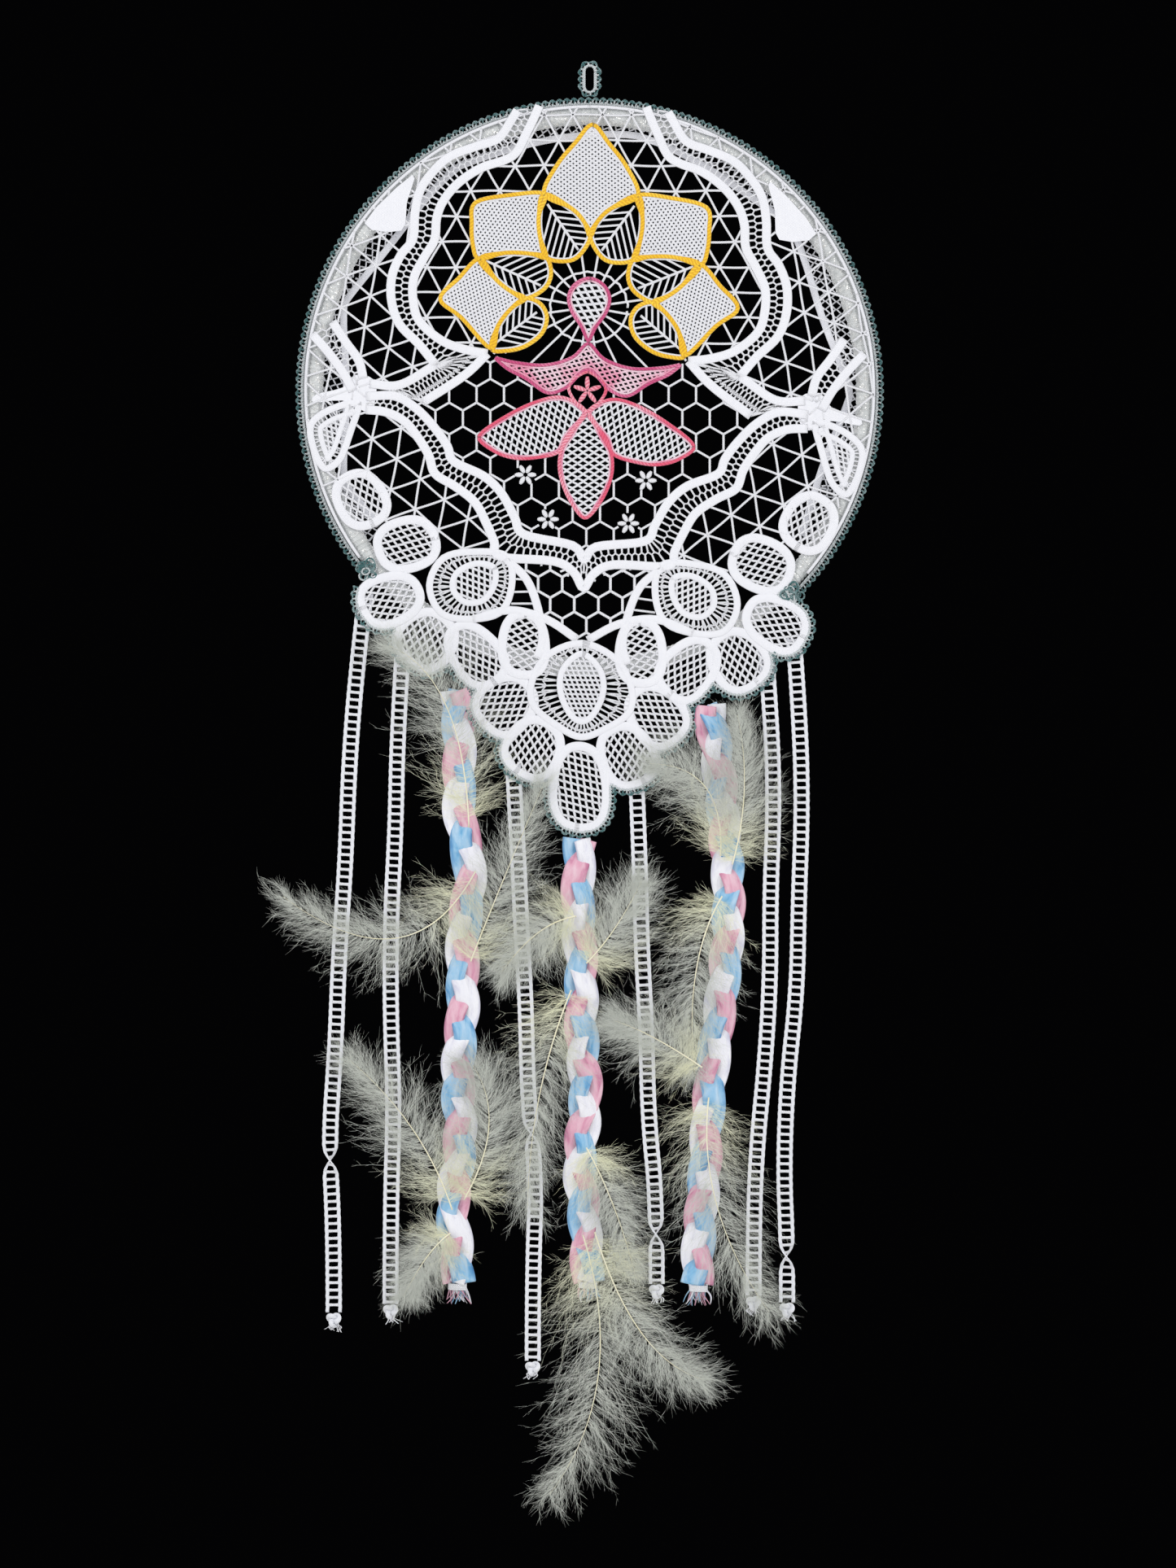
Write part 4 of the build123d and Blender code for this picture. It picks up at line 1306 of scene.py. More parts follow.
# ---------------------------------------------------------------- lace panel
@dataclass
class LacePanel:
    """Tape lace stretched over the front of the hoop and turned back behind it."""

    panel: Panel
    strip: float = 5.4
    bar: float = 1.35
    ray_width: float = 1.05
    fold_radius: float = 171.0
    fold_lobes: int = 16
    rung: float = 1.15
    rung_pitch: float = 3.9
    gimp: float = 2.5
    star_pitch: float = 18.6
    comb_apothem: float = 8.2
    rim: float = 169.8
    body: str = "hoop_and_lace"

    def lace(self, threads: Threads, name: str, node: str, finishes: Sequence[Finish] = (Finish.CLOTH, Finish.LACE)) -> bpy.types.Object:
        """Turns gathered threads into a piece of the panel."""
        return threads.piece(name, finishes, self.body, [node])

    def build(self) -> None:
        """Builds every piece of the panel."""
        for side in Side:
            self.upper_tape(side)
            self.side_tape(side)
            self.side_ground(side)
            self.fan_leaf(side)
        self.lower_tape()
        self.flower()
        self.pink_flower()
        self.top_ground()
        self.middle_ground()
        self.bottom_ground()
        self.bottom_fan()
        self.scallops()
        self.back_fold()

    def ground(self, threads: Threads, region: Region, lines: Sequence[np.ndarray], wider: float = 0.0) -> None:
        """Adds the bars of a ground where they lie in its region.

        Args:
            threads: the mesh to add to.
            region: where they show.
            lines: the bars' lines.
            wider: what is added to a bar's usual width.
        """
        for line in lines:
            for run in region.runs(line):
                threads.flat(run, self.bar + wider, Layer.GROUND, slot=1)

    def tape(self, threads: Threads, one: np.ndarray, other: np.ndarray, front: float, pitch: float = 0.0,
             rows: int = 2) -> None:
        """Adds two woven strips and the ladder between them.

        Args:
            threads: the mesh to add to.
            one: middle line of a strip.
            other: middle line of the strip beside it.
            front: how far forward they lie.
            pitch: distance between rungs, or 0 for the usual one.
            rows: rows of holes.
        """
        for line in (one, other):
            threads.cloth(line, self.strip, front)
        ladder(threads, one, other, pitch or self.rung_pitch, self.rung, front - 0.1, rows, 1)

    def upper_tape(self, side: Side) -> None:
        """Builds one half of the tape round the yellow flower, with its notch.

        Args:
            side: which half.
        """
        threads = Threads(self.panel)
        outer, inner = (self.panel.form(side.flip(line), False) for line in (UPPER_OUTER, UPPER_INNER))
        self.tape(threads, outer, inner, Layer.TAPE)
        notch = [self.panel.form(side.flip(line), False, 8) for line in (NOTCH_OUTER, NOTCH_INNER)]
        self.tape(threads, *notch, Layer.TAPE, 2.7, 3)
        self.lace(threads, f"upper_tape_{side.value}_lace", f"upper_tape_{side.value}")

    def side_tape(self, side: Side) -> None:
        """Builds the short tape, the gusset and the leaf that lie on the hoop.

        Args:
            side: which half.
        """
        threads = Threads(self.panel)
        outer, inner = (self.panel.form(side.flip(line), False) for line in (SIDE_OUTER, SIDE_INNER))
        self.tape(threads, outer, inner, Layer.TAPE)
        for form in (GUSSET, JOIN):
            threads.plate(self.panel.form(side.flip(form), True, 3), Layer.EDGE + 0.1, 0.5)
        leaf = self.panel.form(side.flip(HOOP_LEAF))
        threads.cloth(inward(leaf, 2.0), 4.2, Layer.EDGE + 0.2, True)
        ring = inward(leaf, 8.0)
        threads.cloth(ring, 3.2, Layer.EDGE + 0.2, True)
        for near in even(inward(leaf, 3.0), 2.6, True):
            far = ring[np.argmin(np.linalg.norm(ring - near, axis=1))]
            threads.flat([near, far], 1.0, Layer.EDGE, 0.6, slot=1)
        Net(2.7, 3.4, 1.3, 40).weave(threads, Region([ring]), ring, Layer.EDGE, 1)
        self.lace(threads, f"side_tape_{side.value}_lace", f"side_tape_{side.value}")

    def lower_tape(self) -> None:
        """Builds the tape that runs under the pink flower."""
        threads = Threads(self.panel)
        lines = [self.panel.form(line + across(line)[-2::-1], False) for line in (LOWER_OUTER, LOWER_INNER)]
        self.tape(threads, *lines, Layer.TAPE)
        self.lace(threads, "lower_tape_lace", "lower_tape")

    def flower(self) -> None:
        """Builds the yellow flower: its petals, leaves and outline."""
        petals, leaves, outline = Threads(self.panel), Threads(self.panel), Threads(self.panel)
        forms = [(whole(PETAL_TOP), Net(1.9, 2.7, 1.5, 91))]
        for side in Side:
            forms.append((side.flip(SQUARE_HIGH), Net(1.8, 2.7, 1.42, side.turn(-6))))
            forms.append((side.flip(SQUARE_LOW), Net(1.8, 2.7, 1.42, side.turn(-24))))
        for points, net in forms:
            edge = self.panel.form(points)
            net.weave(petals, Region([inward(edge, 1.0)]), edge, Layer.GROUND + 0.2, 1)
            petals.flat(inward(edge, 1.7), 1.5, Layer.TAPE, 0.8, True, slot=1)
            outline.flat(even(edge, 1.2, True), self.gimp, Layer.GIMP, 0.95, True, 8)
        for side in Side:
            for points, base, tip in LEAF_RIBS:
                edge = self.panel.form(side.flip(points))
                self.veins(leaves, edge, *self.panel.hung(side.flip([base, tip])))
                outline.flat(even(edge, 1.2, True), self.gimp, Layer.GIMP - 0.15, 0.95, True, 8)
        self.lace(petals, "flower_petals_lace", "flower_petals")
        self.lace(leaves, "flower_leaves_lace", "flower_leaves")
        self.lace(outline, "yellow_gimp_line", "yellow_outline", (Finish.YELLOW,))

    def veins(self, threads: Threads, edge: np.ndarray, base: np.ndarray, tip: np.ndarray) -> None:
        """Adds a leaf's white edge, midrib and side ribs.

        Args:
            threads: the mesh to add to.
            edge: the leaf's outline.
            base: the midrib's foot.
            tip: the midrib's end.
        """
        threads.flat(inward(edge, 1.5), 1.4, Layer.GROUND + 0.2, 0.8, True, slot=1)
        midrib = even(np.array([base, tip]), 2.5)
        threads.flat(midrib, 1.5, Layer.GROUND + 0.1, 0.8, slot=1)
        region = Region([inward(edge, 1.0)])
        way = unit(tip - base)
        for share in np.linspace(0.14, 0.86, 6):
            root = base + (tip - base) * share
            for turn in (0.86, -0.86):
                arm = way * math.cos(turn) + left_of(way) * math.sin(turn)
                line = root + np.linspace(0, 24, 16)[:, None] * arm
                for run in region.runs(line)[:1]:
                    threads.flat(run, 1.25, Layer.GROUND, slot=1)

    def pink_flower(self) -> None:
        """Builds the pink flower: its nets and outlines."""
        petals, outline = Threads(self.panel), Threads(self.panel)
        forms = [(whole(TEARDROP), Net(3.4, 4.5, 1.65, 62, 0.55, 0.2), 1, 1),
                 (whole(PETAL_LOW), Net(3.3, 4.3, 1.35, 90, 0.55, 0.15), 1, 0),
                 (PETAL_SIDE, Net(3.3, 4.3, 1.35, 20, 0.55, 0.15), 1, 0),
                 (across(PETAL_SIDE), Net(3.3, 4.3, 1.35, -24, 0.55, 0.15), 1, 0),
                 (whole(CRESCENT), Net(2.5, 3.4, 1.3, 68, 0.55, 0.25), 2, 1),
                 (whole(STAR), None, 3, 0)]
        for points, net, slot, yarn in forms:
            edge = self.panel.form(points)
            if net:
                net.weave(petals, Region([inward(edge, 0.8)]), edge, Layer.GROUND + 0.1, slot)
                petals.flat(inward(edge, 2.2), 1.3, Layer.TAPE, 0.8, True, slot=2)
            ring = inward(even(edge, 1.2, True), 0.7)
            outline.flat(ring, 1.9, Layer.GIMP, 0.9, True, 8, yarn)
        heart = self.panel.hung([(0, 0)])[0]
        for turn in np.radians([90, 162, 234, 306, 18]):
            ray = heart + np.linspace(0.5, 8.5, 9)[:, None] * polar(turn)
            petals.flat(ray, 1.2 + 1.7 * np.sin(np.linspace(0, 3.0, 9)), Layer.TAPE, 0.9, slot=3)
        finishes = (Finish.CLOTH, Finish.LACE, Finish.PINK, Finish.CORAL)
        self.lace(petals, "pink_petals_lace", "pink_petals", finishes)
        self.lace(outline, "pink_gimp_line", "pink_outline", (Finish.CORAL, Finish.ROSE))

    def silhouettes(self) -> list[np.ndarray]:
        """Outlines of both flowers, which no ground crosses.

        Returns:
            The closed outlines.
        """
        forms = [whole(PETAL_TOP), whole(TEARDROP), whole(STAR), whole(PETAL_LOW), whole(CRESCENT)]
        for side in Side:
            forms += [side.flip(f) for f in (SQUARE_HIGH, SQUARE_LOW, LEAF_HIGH, LEAF_MID, LEAF_LOW, PETAL_SIDE)]
        return [self.panel.form(form) for form in forms]

    def top_ground(self) -> None:
        """Builds the star ground round the yellow flower."""
        threads = Threads(self.panel)
        window = self.panel.form(whole([(0, 170)] + UPPER_INNER + [(-44, 19), (-26, 16), (0, 29)]), True, 3)
        well = self.panel.form(whole(WELL), True, 3)
        flowers = self.silhouettes()
        self.ground(threads, Region([window], flowers + [well], self.rim), star_lines(0.0, 17.5, (-1.0, 89.0), 130.0))
        heart = self.panel.hung([(0, 50)])[0]
        lines = [heart + np.arange(8, 60, 1.5)[:, None] * polar(turn) for turn in np.radians(np.arange(8, 368, 18))]
        loop = heart + 21.0 * polar(np.radians(np.arange(-1, 359, 4.5))) * [1.1, 1.0]
        lines.append(loop + np.sin(np.arange(80) * np.pi / 2)[:, None] * 0.3)
        self.ground(threads, Region([well], flowers), lines)
        self.lace(threads, "top_ground_lace", "top_ground")

    def tied(self) -> list[np.ndarray]:
        """Outlines that the side grounds stop at.

        Returns:
            The closed outlines.
        """
        forms = [whole([(0, 175)] + UPPER_OUTER + NOTCH_OUTER[1:] + LOWER_OUTER)]
        for side in Side:
            forms += [side.flip(form) for form in (FAN_OUTLINE, HOOP_LEAF, GUSSET, SIDE_INNER + SIDE_OUTER[::-1],
                                                   LOBES_ROOM)]
        return [self.panel.form(form, True, 3) for form in forms]

    def side_ground(self, side: Side) -> None:
        """Builds the star ground beside the tapes and the selvedge on the hoop's rim.

        Args:
            side: which half.
        """
        threads = Threads(self.panel)
        half = np.array([(-2, -176), (-2, 176), (-176, 176), (-176, -176)], float)
        half[:, 0] *= 1 if side is Side.LEFT else -1
        region = Region([half], self.tied(), self.rim * self.panel.scale)
        star = tuple(self.panel.hung(side.flip([(-122, 3)]))[0])
        self.ground(threads, region, star_lines(side.turn(20.0), self.star_pitch, star, 200.0))
        ends = (90, 216) if side is Side.LEFT else (90, -40)
        way = np.radians(np.linspace(*ends, 130))
        rim = self.rim * self.panel.scale
        threads.flat(rim * polar(way), 1.9, Layer.EDGE, 0.8)
        self.lace(threads, f"side_ground_{side.value}_lace", f"side_ground_{side.value}")

    def middle_ground(self) -> None:
        """Builds the honeycomb round the pink flower, with its rosettes."""
        threads = Threads(self.panel)
        window = self.panel.form(whole(MIDDLE_WINDOW), True, 3)
        roses = [self.panel.hung([place])[0] for place in ROSETTES]
        discs = [rose + 6.4 * polar(circle(12)) for rose in roses]
        region = Region([window], self.silhouettes() + discs)
        self.ground(threads, region, comb_lines(self.comb_apothem, (-2.0, -45.0), 130.0))
        for rose, disc in zip(roses, discs):
            for spoke in disc[::2]:
                petal = even(np.array([rose + (spoke - rose) * 0.2, spoke]), 1.2)
                width = 1.0 + 1.9 * np.sin(np.linspace(0.15, 3.0, len(petal)))
                threads.flat(petal, width, Layer.TAPE, slot=1)
        self.lace(threads, "middle_ground_lace", "middle_ground")

    def bottom_ground(self) -> None:
        """Builds the honeycomb under the lower tape."""
        threads = Threads(self.panel)
        window = self.panel.form(whole([(0, -118), (-18, -103)] + SWAG_DOWN[:3] + SWAG_OVER[2:]), True, 3)
        self.ground(threads, Region([window]), comb_lines(7.2, (-2.0, -128.0), 60.0), 0.2)
        self.lace(threads, "bottom_ground_lace", "bottom_ground")

    def rayed(self, threads: Threads, edge: np.ndarray, ring: np.ndarray, net: Net, front: float) -> None:
        """Adds a rayed form: its outline, its ring with a net inside, and the rays between.

        Args:
            threads: the mesh to add to.
            edge: its outline.
            ring: the ring inside.
            net: the net inside the ring.
            front: how far forward it lies.
        """
        threads.cloth(edge, 4.2, front, True)
        threads.cloth(inward(ring, 1.2), 3.8, front, True)
        outer = even(edge, 1.45, True)
        inner = ring[[np.argmin(np.linalg.norm(ring - point, axis=1)) for point in outer]]
        sway = np.where(np.arange(len(outer)) % 2 == 0, 0.42, 0.54)[:, None]
        middle = outer + (inner - outer) * sway
        for index, (near, centre, far) in enumerate(zip(outer, middle, inner)):
            ray = [near, centre] if index % 2 else [centre, far]
            threads.flat(ray, self.ray_width, front - 0.1, 0.6, slot=1)
        threads.flat(middle, self.ray_width, front - 0.1, 0.65, True, slot=1)
        net.weave(threads, Region([ring]), ring, front - 0.2, 1)

    def fan_leaf(self, side: Side) -> None:
        """Builds a rayed leaf below the lower tape and the swag beside it.

        Args:
            side: which half.
        """
        threads = Threads(self.panel)
        edge, ring = (self.panel.form(side.flip(line)) for line in (FAN_OUTLINE, FAN_RING))
        self.rayed(threads, edge, ring, Net(3.0, 4.2, 1.45, side.turn(35)), Layer.TAPE)
        for line in (SWAG_DOWN, SWAG_OVER):
            threads.cloth(self.panel.form(side.flip(line), False), 5.0, Layer.TAPE)
        for bar in SWAG_BARS:
            threads.flat(self.panel.hung(side.flip(bar)), 1.3, Layer.GROUND, slot=1)
        self.lace(threads, f"fan_leaf_{side.value}_lace", f"fan_leaf_{side.value}")

    def bottom_fan(self) -> None:
        """Builds the rayed form on the middle line."""
        threads = Threads(self.panel)
        edge, petal = self.panel.form(whole(CREST_OUTLINE)), self.panel.form(whole(CREST_PETAL))
        self.rayed(threads, edge, petal, Net(2.5, 3.4, 1.35, 55), Layer.TAPE)
        self.lace(threads, "bottom_fan_lace", "bottom_fan")

    def scallops(self) -> None:
        """Builds the netted lobes round the bottom and the picot edging on them."""
        threads, edging = Threads(self.panel), Threads(self.panel)
        for side in Side:
            for number, lobe in enumerate(LOBES[:-1] if side is Side.RIGHT else LOBES):
                edge = self.panel.form(side.flip(egg(*lobe)), True, 3)
                front = Layer.GROUND + 0.12 * (number % 3)
                threads.cloth(inward(edge, 2.6), 5.6, front, True)
                net = Net(3.4, 4.7, 1.45, side.turn(25 + 47 * number), 0.55, 0.45)
                net.weave(threads, Region([inward(edge, 3.5)]), edge, front - 0.15, 1)
        crochet(edging, self.scallop_edge(), -1.0, Layer.TAPE, 2.6)
        self.lace(threads, "edge_scallops_lace", "edge_scallops")
        self.lace(edging, "scallop_picots", "scallop_edging", (Finish.CROCHET, Finish.TEAL))

    def scallop_edge(self) -> np.ndarray:
        """Works out the line on which the picots stand.

        Returns:
            The outer edge of all lobes together, from left to right.
        """
        lobes = [self.panel.form(side.flip(egg(*lobe)), True, 3) for side in Side for lobe in LOBES]
        heart = self.panel.hung([(0, -112)])[0]
        reach = np.arange(30, 190, 0.5)
        line = []
        for turn in np.radians(np.arange(182.5, 356.0, 0.4)):
            ray = heart + reach[:, None] * polar(turn)
            held = np.flatnonzero(Region(lobes).holds(ray))
            line.append(ray[held[-1]] if len(held) else line[-1])
        return even(np.array(line), 1.0)

    def back_fold(self) -> None:
        """Builds the lace that is turned back behind the hoop."""
        threads = Threads(self.panel)
        way = np.radians(np.linspace(-34, 214, 420))
        wide = self.fold_radius * self.panel.scale
        reach = wide - 14 - (3 + 8 * np.cos(way) ** 2) * np.abs(np.sin(4.5 * way))
        outer, inner = wide * polar(way), reach[:, None] * polar(way)
        threads.cloth(inner[::4], 4.2, Layer.BACK)
        threads.cloth(outer[::4] * 0.985, 3.6, Layer.BACK)
        region = Region([np.vstack([outer, inner[::-1]])])
        for foot in np.linspace(-30, 210, self.fold_lobes):
            middle = wide * 0.9 * polar(math.radians(foot))
            arc = polar(np.radians(np.linspace(foot - 8, foot + 8, 12)))
            self.patch(threads, region, Region([np.vstack([180 * arc, 110 * arc[::-1]])]), middle, foot)
        self.lace(threads, "back_fold_lace", "back_fold")

    def patch(self, threads: Threads, region: Region, cell: Region, middle: np.ndarray, foot: float) -> None:
        """Adds one netted lobe of the turned-back lace.

        Args:
            threads: the mesh to add to.
            region: all of the turned-back lace.
            cell: the slice of it that this lobe fills.
            middle: the lobe's middle.
            foot: its place round the hoop in degrees.
        """
        net = Net(3.4, 4.8, 1.3, foot + 70)
        along = polar(math.radians(net.turn))
        marks = np.arange(-22, 23)
        u = marks * net.hole / 2
        for row in range(-12, 13):
            sway = np.where((marks + row) % 2 == 0, net.swing(), -net.swing())
            line = middle + u[:, None] * along + (row * net.pitch + sway)[:, None] * left_of(along)
            for run in region.runs(line):
                for part in cell.runs(run):
                    threads.flat(part, net.thread, Layer.BACK, net.depth, slot=1)


# ---------------------------------------------------------------- hanging tapes and braids
def spline(name: str, route: Sequence[tuple[float, float, float]]) -> np.ndarray:
    """Reads the smooth line that a strand follows.

    Args:
        name: the strand's name.
        route: its points in metres.

    Returns:
        Points close together along its NURBS line, in metres.
    """
    curve = bpy.data.curves.new(name + "_route", "CURVE")
    curve.dimensions = "3D"
    curve.resolution_u = 24
    run = curve.splines.new("NURBS")
    run.points.add(len(route) - 1)
    for point, place in zip(run.points, route):
        point.co = (*place, 1.0)
    run.order_u = 3
    run.use_endpoint_u = True
    holder = bpy.data.objects.new(name + "_route", curve)
    mesh = bpy.data.meshes.new_from_object(holder)
    line = np.array([vertex.co[:] for vertex in mesh.vertices])
    bpy.data.objects.remove(holder)
    bpy.data.curves.remove(curve)
    bpy.data.meshes.remove(mesh)
    return line


TAPE_DEPTH = -0.0054
BRAID_DEPTH = -0.0070
HOOP_MIDDLE = -0.1946

TAPE_TOPS = [(-0.134, -0.121), (-0.112, -0.158), (-0.046, -0.222), (0.028, -0.234), (0.105, -0.151),
             (0.122, -0.147)]
TAPE_DROPS = [
    [(0, 0), (-6, -52), (-10, -106), (-12, -162), (-16, -218), (-18, -274), (-22, -328), (-19, -380), (-19, -430)],
    [(0, 0), (-3, -50), (-4, -104), (-7, -160), (-7, -216), (-5, -272), (-7, -330), (-7, -388)],
    [(0, 0), (3, -50), (5, -98), (8, -148), (9, -200), (14, -252), (12, -306), (12, -358)],
    [(0, 0), (2, -48), (3, -98), (6, -150), (7, -200), (12, -250), (12, -300)],
    [(0, 0), (4, -52), (5, -100), (3, -150), (3, -200), (0, -250), (-5, -300), (-7, -346), (-7, -390)],
    [(0, 0), (4, -54), (5, -106), (3, -158), (2, -212), (-4, -266), (-6, -320), (-4, -362), (-4, -398)],
]
BRAID_TOPS = {"left": (-0.080, -0.181), "centre": (-0.005, -0.268), "right": (0.072, -0.188)}
BRAID_SWINGS = {"left": 25.0, "centre": 45.0, "right": 45.0}
BRAID_DROPS = {
    "left": [(0, 1.6), (3, -34), (2, -72), (11, -107), (3, -146), (4, -186), (0, -226), (5, -268), (-3, -306),
             (1, -332), (1, -352)],
    "centre": [(0, 0), (-2, -38), (1, -78), (-1, -118), (3, -157), (-2, -195), (4, -230), (4, -264)],
    "right": [(0, 0), (5, -36), (8, -76), (12, -120), (10, -162), (3, -203), (-2, -243), (-4, -280), (-7, -314),
              (-7, -346)],
}


def placed(top: Point, drop: Sequence[Point], depth: float) -> list[tuple[float, float, float]]:
    """Route in metres of a strand that hangs from its top, with its drops in millimetres."""
    return [(top[0] + x * MM, depth, HOOP_MIDDLE + top[1] + z * MM) for x, z in drop]


@dataclass
class LadderTape:
    """Hanging tape with a ladder of holes, tied in a knot at its end."""

    panel: Panel
    number: int
    twists: Sequence[tuple[float, float]] = ()
    width: float = 9.6
    edge: float = 2.1
    pitch: float = 4.42
    rung: float = 1.55
    strip_depth: float = 0.42
    rung_depth: float = 0.36
    tails: int = 7

    def build(self) -> None:
        route = placed(TAPE_TOPS[self.number - 1], TAPE_DROPS[self.number - 1], TAPE_DEPTH)
        path = spline(f"ladder_tape_{self.number}", route)
        line = even(path / MM, self.pitch / 4)
        count = len(line)
        fall = np.arange(count) * self.pitch / 4
        way = headings(line)
        flat = level(way)
        flat *= np.sign(flat[:, :1])
        turn = 0.12 * np.sin(fall / 60 + self.number * 1.9)
        for share, amount in self.twists:
            step = np.clip((fall - share * fall[-1]) / 26 + 0.5, 0, 1)
            turn = turn + amount * np.pi * step * step * (3 - 2 * step)
        sideways = rolled(flat, turn[:, None])
        threads = Threads(self.panel)
        wave = 0.12 * np.sin(np.arange(count) * np.pi / 2)
        inner = (self.width - self.edge) / 2
        for side in (-1, 1):
            strip = line + sideways * (side * inner + wave[:, None])
            threads.sweep(strip, sideways, self.edge / 2, self.strip_depth, 8, square=0.6)
        for spot in range(2, count - 1, 4):
            ends = np.array([line[spot] - sideways[spot] * inner, line[spot] + sideways[spot] * inner])
            points = even(ends, inner / 2)
            taper = self.rung / 2 * (1 + 0.5 * np.linspace(-1, 1, len(points)) ** 2)
            threads.sweep(points, np.tile(way[spot], (len(points), 1)), taper, self.rung_depth, slot=1)
        body = f"strand_{self.number}"
        tape = threads.piece(f"tape_{self.number}", [Finish.TAPE, Finish.LACE], body, [f"ladder_tape_{self.number}"])
        knot = self.knot(line[-1], body)
        self.width * MM

    def knot(self, end: np.ndarray, body: str) -> bpy.types.Object:
        """Builds the knot under the tape.

        Args:
            end: the tape's end.
            body: the body it moves with.

        Returns:
            Its object.
        """
        rng = np.random.default_rng(40 + self.number)
        threads = Threads(self.panel)
        turn = circle(56)
        bend = np.column_stack([np.sin(turn) + 2 * np.sin(2 * turn), -np.sin(3 * turn) * 1.4,
                                np.cos(turn) - 2 * np.cos(2 * turn)])
        line = end + [0, 0, -4.4] + bend * [1.15, 1.3, 1.2]
        way = headings(line, True)
        aside = unit(np.cross(way, [0.2, 1.0, 0.1]))
        threads.sweep(line, aside, 1.5, 0.75, 8, True, square=0.7)
        for _ in range(self.tails):
            steps = np.linspace(0, 1, 7)[:, None]
            lean = np.array([rng.normal(0, 2.6), rng.normal(0, 0.9), -rng.uniform(3.0, 5.4)])
            sway = np.array([rng.normal(0, 1.2), 0, 0]) * np.sin(steps * 4)
            hair = end + [rng.normal(0, 1.4), rng.normal(0, 0.5), -7.0] + lean * steps + sway
            threads.sweep(hair, np.tile([1.0, 0, 0], (7, 1)), 0.34, 0.3, 6, slot=1)
        return threads.piece(f"knot_{self.number}", [Finish.TAPE, Finish.LACE], body, [f"tape_knot_{self.number}"])


@dataclass
class Braid:
    """Flat plait of three satin ribbons with its tie and frayed end."""

    panel: Panel
    side: str
    start: float = 0.0
    period: float = 74.0
    swing: float = 4.1
    lift: float = 1.8
    ribbon: float = 6.3
    thickness: float = 0.75
    step: float = 1.1
    tails: int = 24

    def build(self) -> None:
        route = placed(BRAID_TOPS[self.side], BRAID_DROPS[self.side], BRAID_DEPTH)
        path = spline(f"braid_{self.side}", route)
        line = even(path / MM, self.step)
        fall = np.arange(len(line)) * self.step
        way = headings(line)
        flat = np.cross(way, DEEP)
        flat *= np.sign(flat[:, :1])
        threads = Threads(self.panel)
        for strand in range(3):
            phase = (fall + 4.0 * np.sin(fall / 41 + self.start)) * 2 * np.pi / self.period
            phase = phase + strand * 2 * np.pi / 3 + self.start
            run = line + flat * (self.swing * np.sin(phase))[:, None]
            run = run - DEEP * (self.lift * np.sin(2 * phase))[:, None]
            roll = (0.3 * np.cos(phase) + 0.16 * np.sin(fall / 13 + strand))[:, None]
            aside = rolled(level(headings(run)), roll)
            width = self.ribbon * (1 + 0.14 * np.sin(fall / 19 + strand * 2.1))
            threads.sweep(run, aside, width, self.thickness, 16, slot=strand, square=0.7, cup=-1.0)
        body = f"plait_{self.side}"
        finishes = [Finish.SATIN_PINK, Finish.SATIN_BLUE, Finish.SATIN_WHITE]
        braid = threads.piece(f"braid_ribbons_{self.side}", finishes, body, [f"braid_{self.side}"])
        tie = self.tie(line[-1], body, finishes)

    def tie(self, end: np.ndarray, body: str, finishes: Sequence[Finish]) -> bpy.types.Object:
        """Builds the wound tie and the frayed ribbon ends.

        Args:
            end: the braid's end.
            body: the body it moves with.
            finishes: the ribbons' finishes.

        Returns:
            Its object.
        """
        rng = np.random.default_rng(len(self.side))
        threads = Threads(self.panel)
        coil = np.linspace(0, 2 * np.pi * 4, 80)
        line = end + np.column_stack([5.2 * np.cos(coil), 1.9 * np.sin(coil), -0.6 - coil / coil[-1] * 3.6])
        threads.sweep(line, np.tile([0, 0, 1.0], (80, 1)), 0.55, 0.5, 6, slot=3)
        for _ in range(self.tails):
            steps = np.linspace(0, 1, 8)[:, None]
            lean = np.array([rng.normal(0, 3.2), rng.normal(0, 0.7), -rng.uniform(6.5, 11.0)])
            sway = np.array([rng.normal(0, 1.0), 0.2, 0]) * np.sin(steps * 3.5)
            hair = end + [rng.uniform(-4.4, 4.4), rng.normal(0, 0.7), -2.0] + lean * steps + sway
            half = np.linspace(0.95, 0.3, 8) * rng.uniform(0.4, 1.0)
            threads.sweep(hair, np.tile([1.0, 0, 0], (8, 1)), half, 0.2, 6, slot=int(rng.integers(0, 3)))
        return threads.piece(f"tie_{self.side}", [*finishes, Finish.LACE], body, [f"braid_tie_{self.side}"])


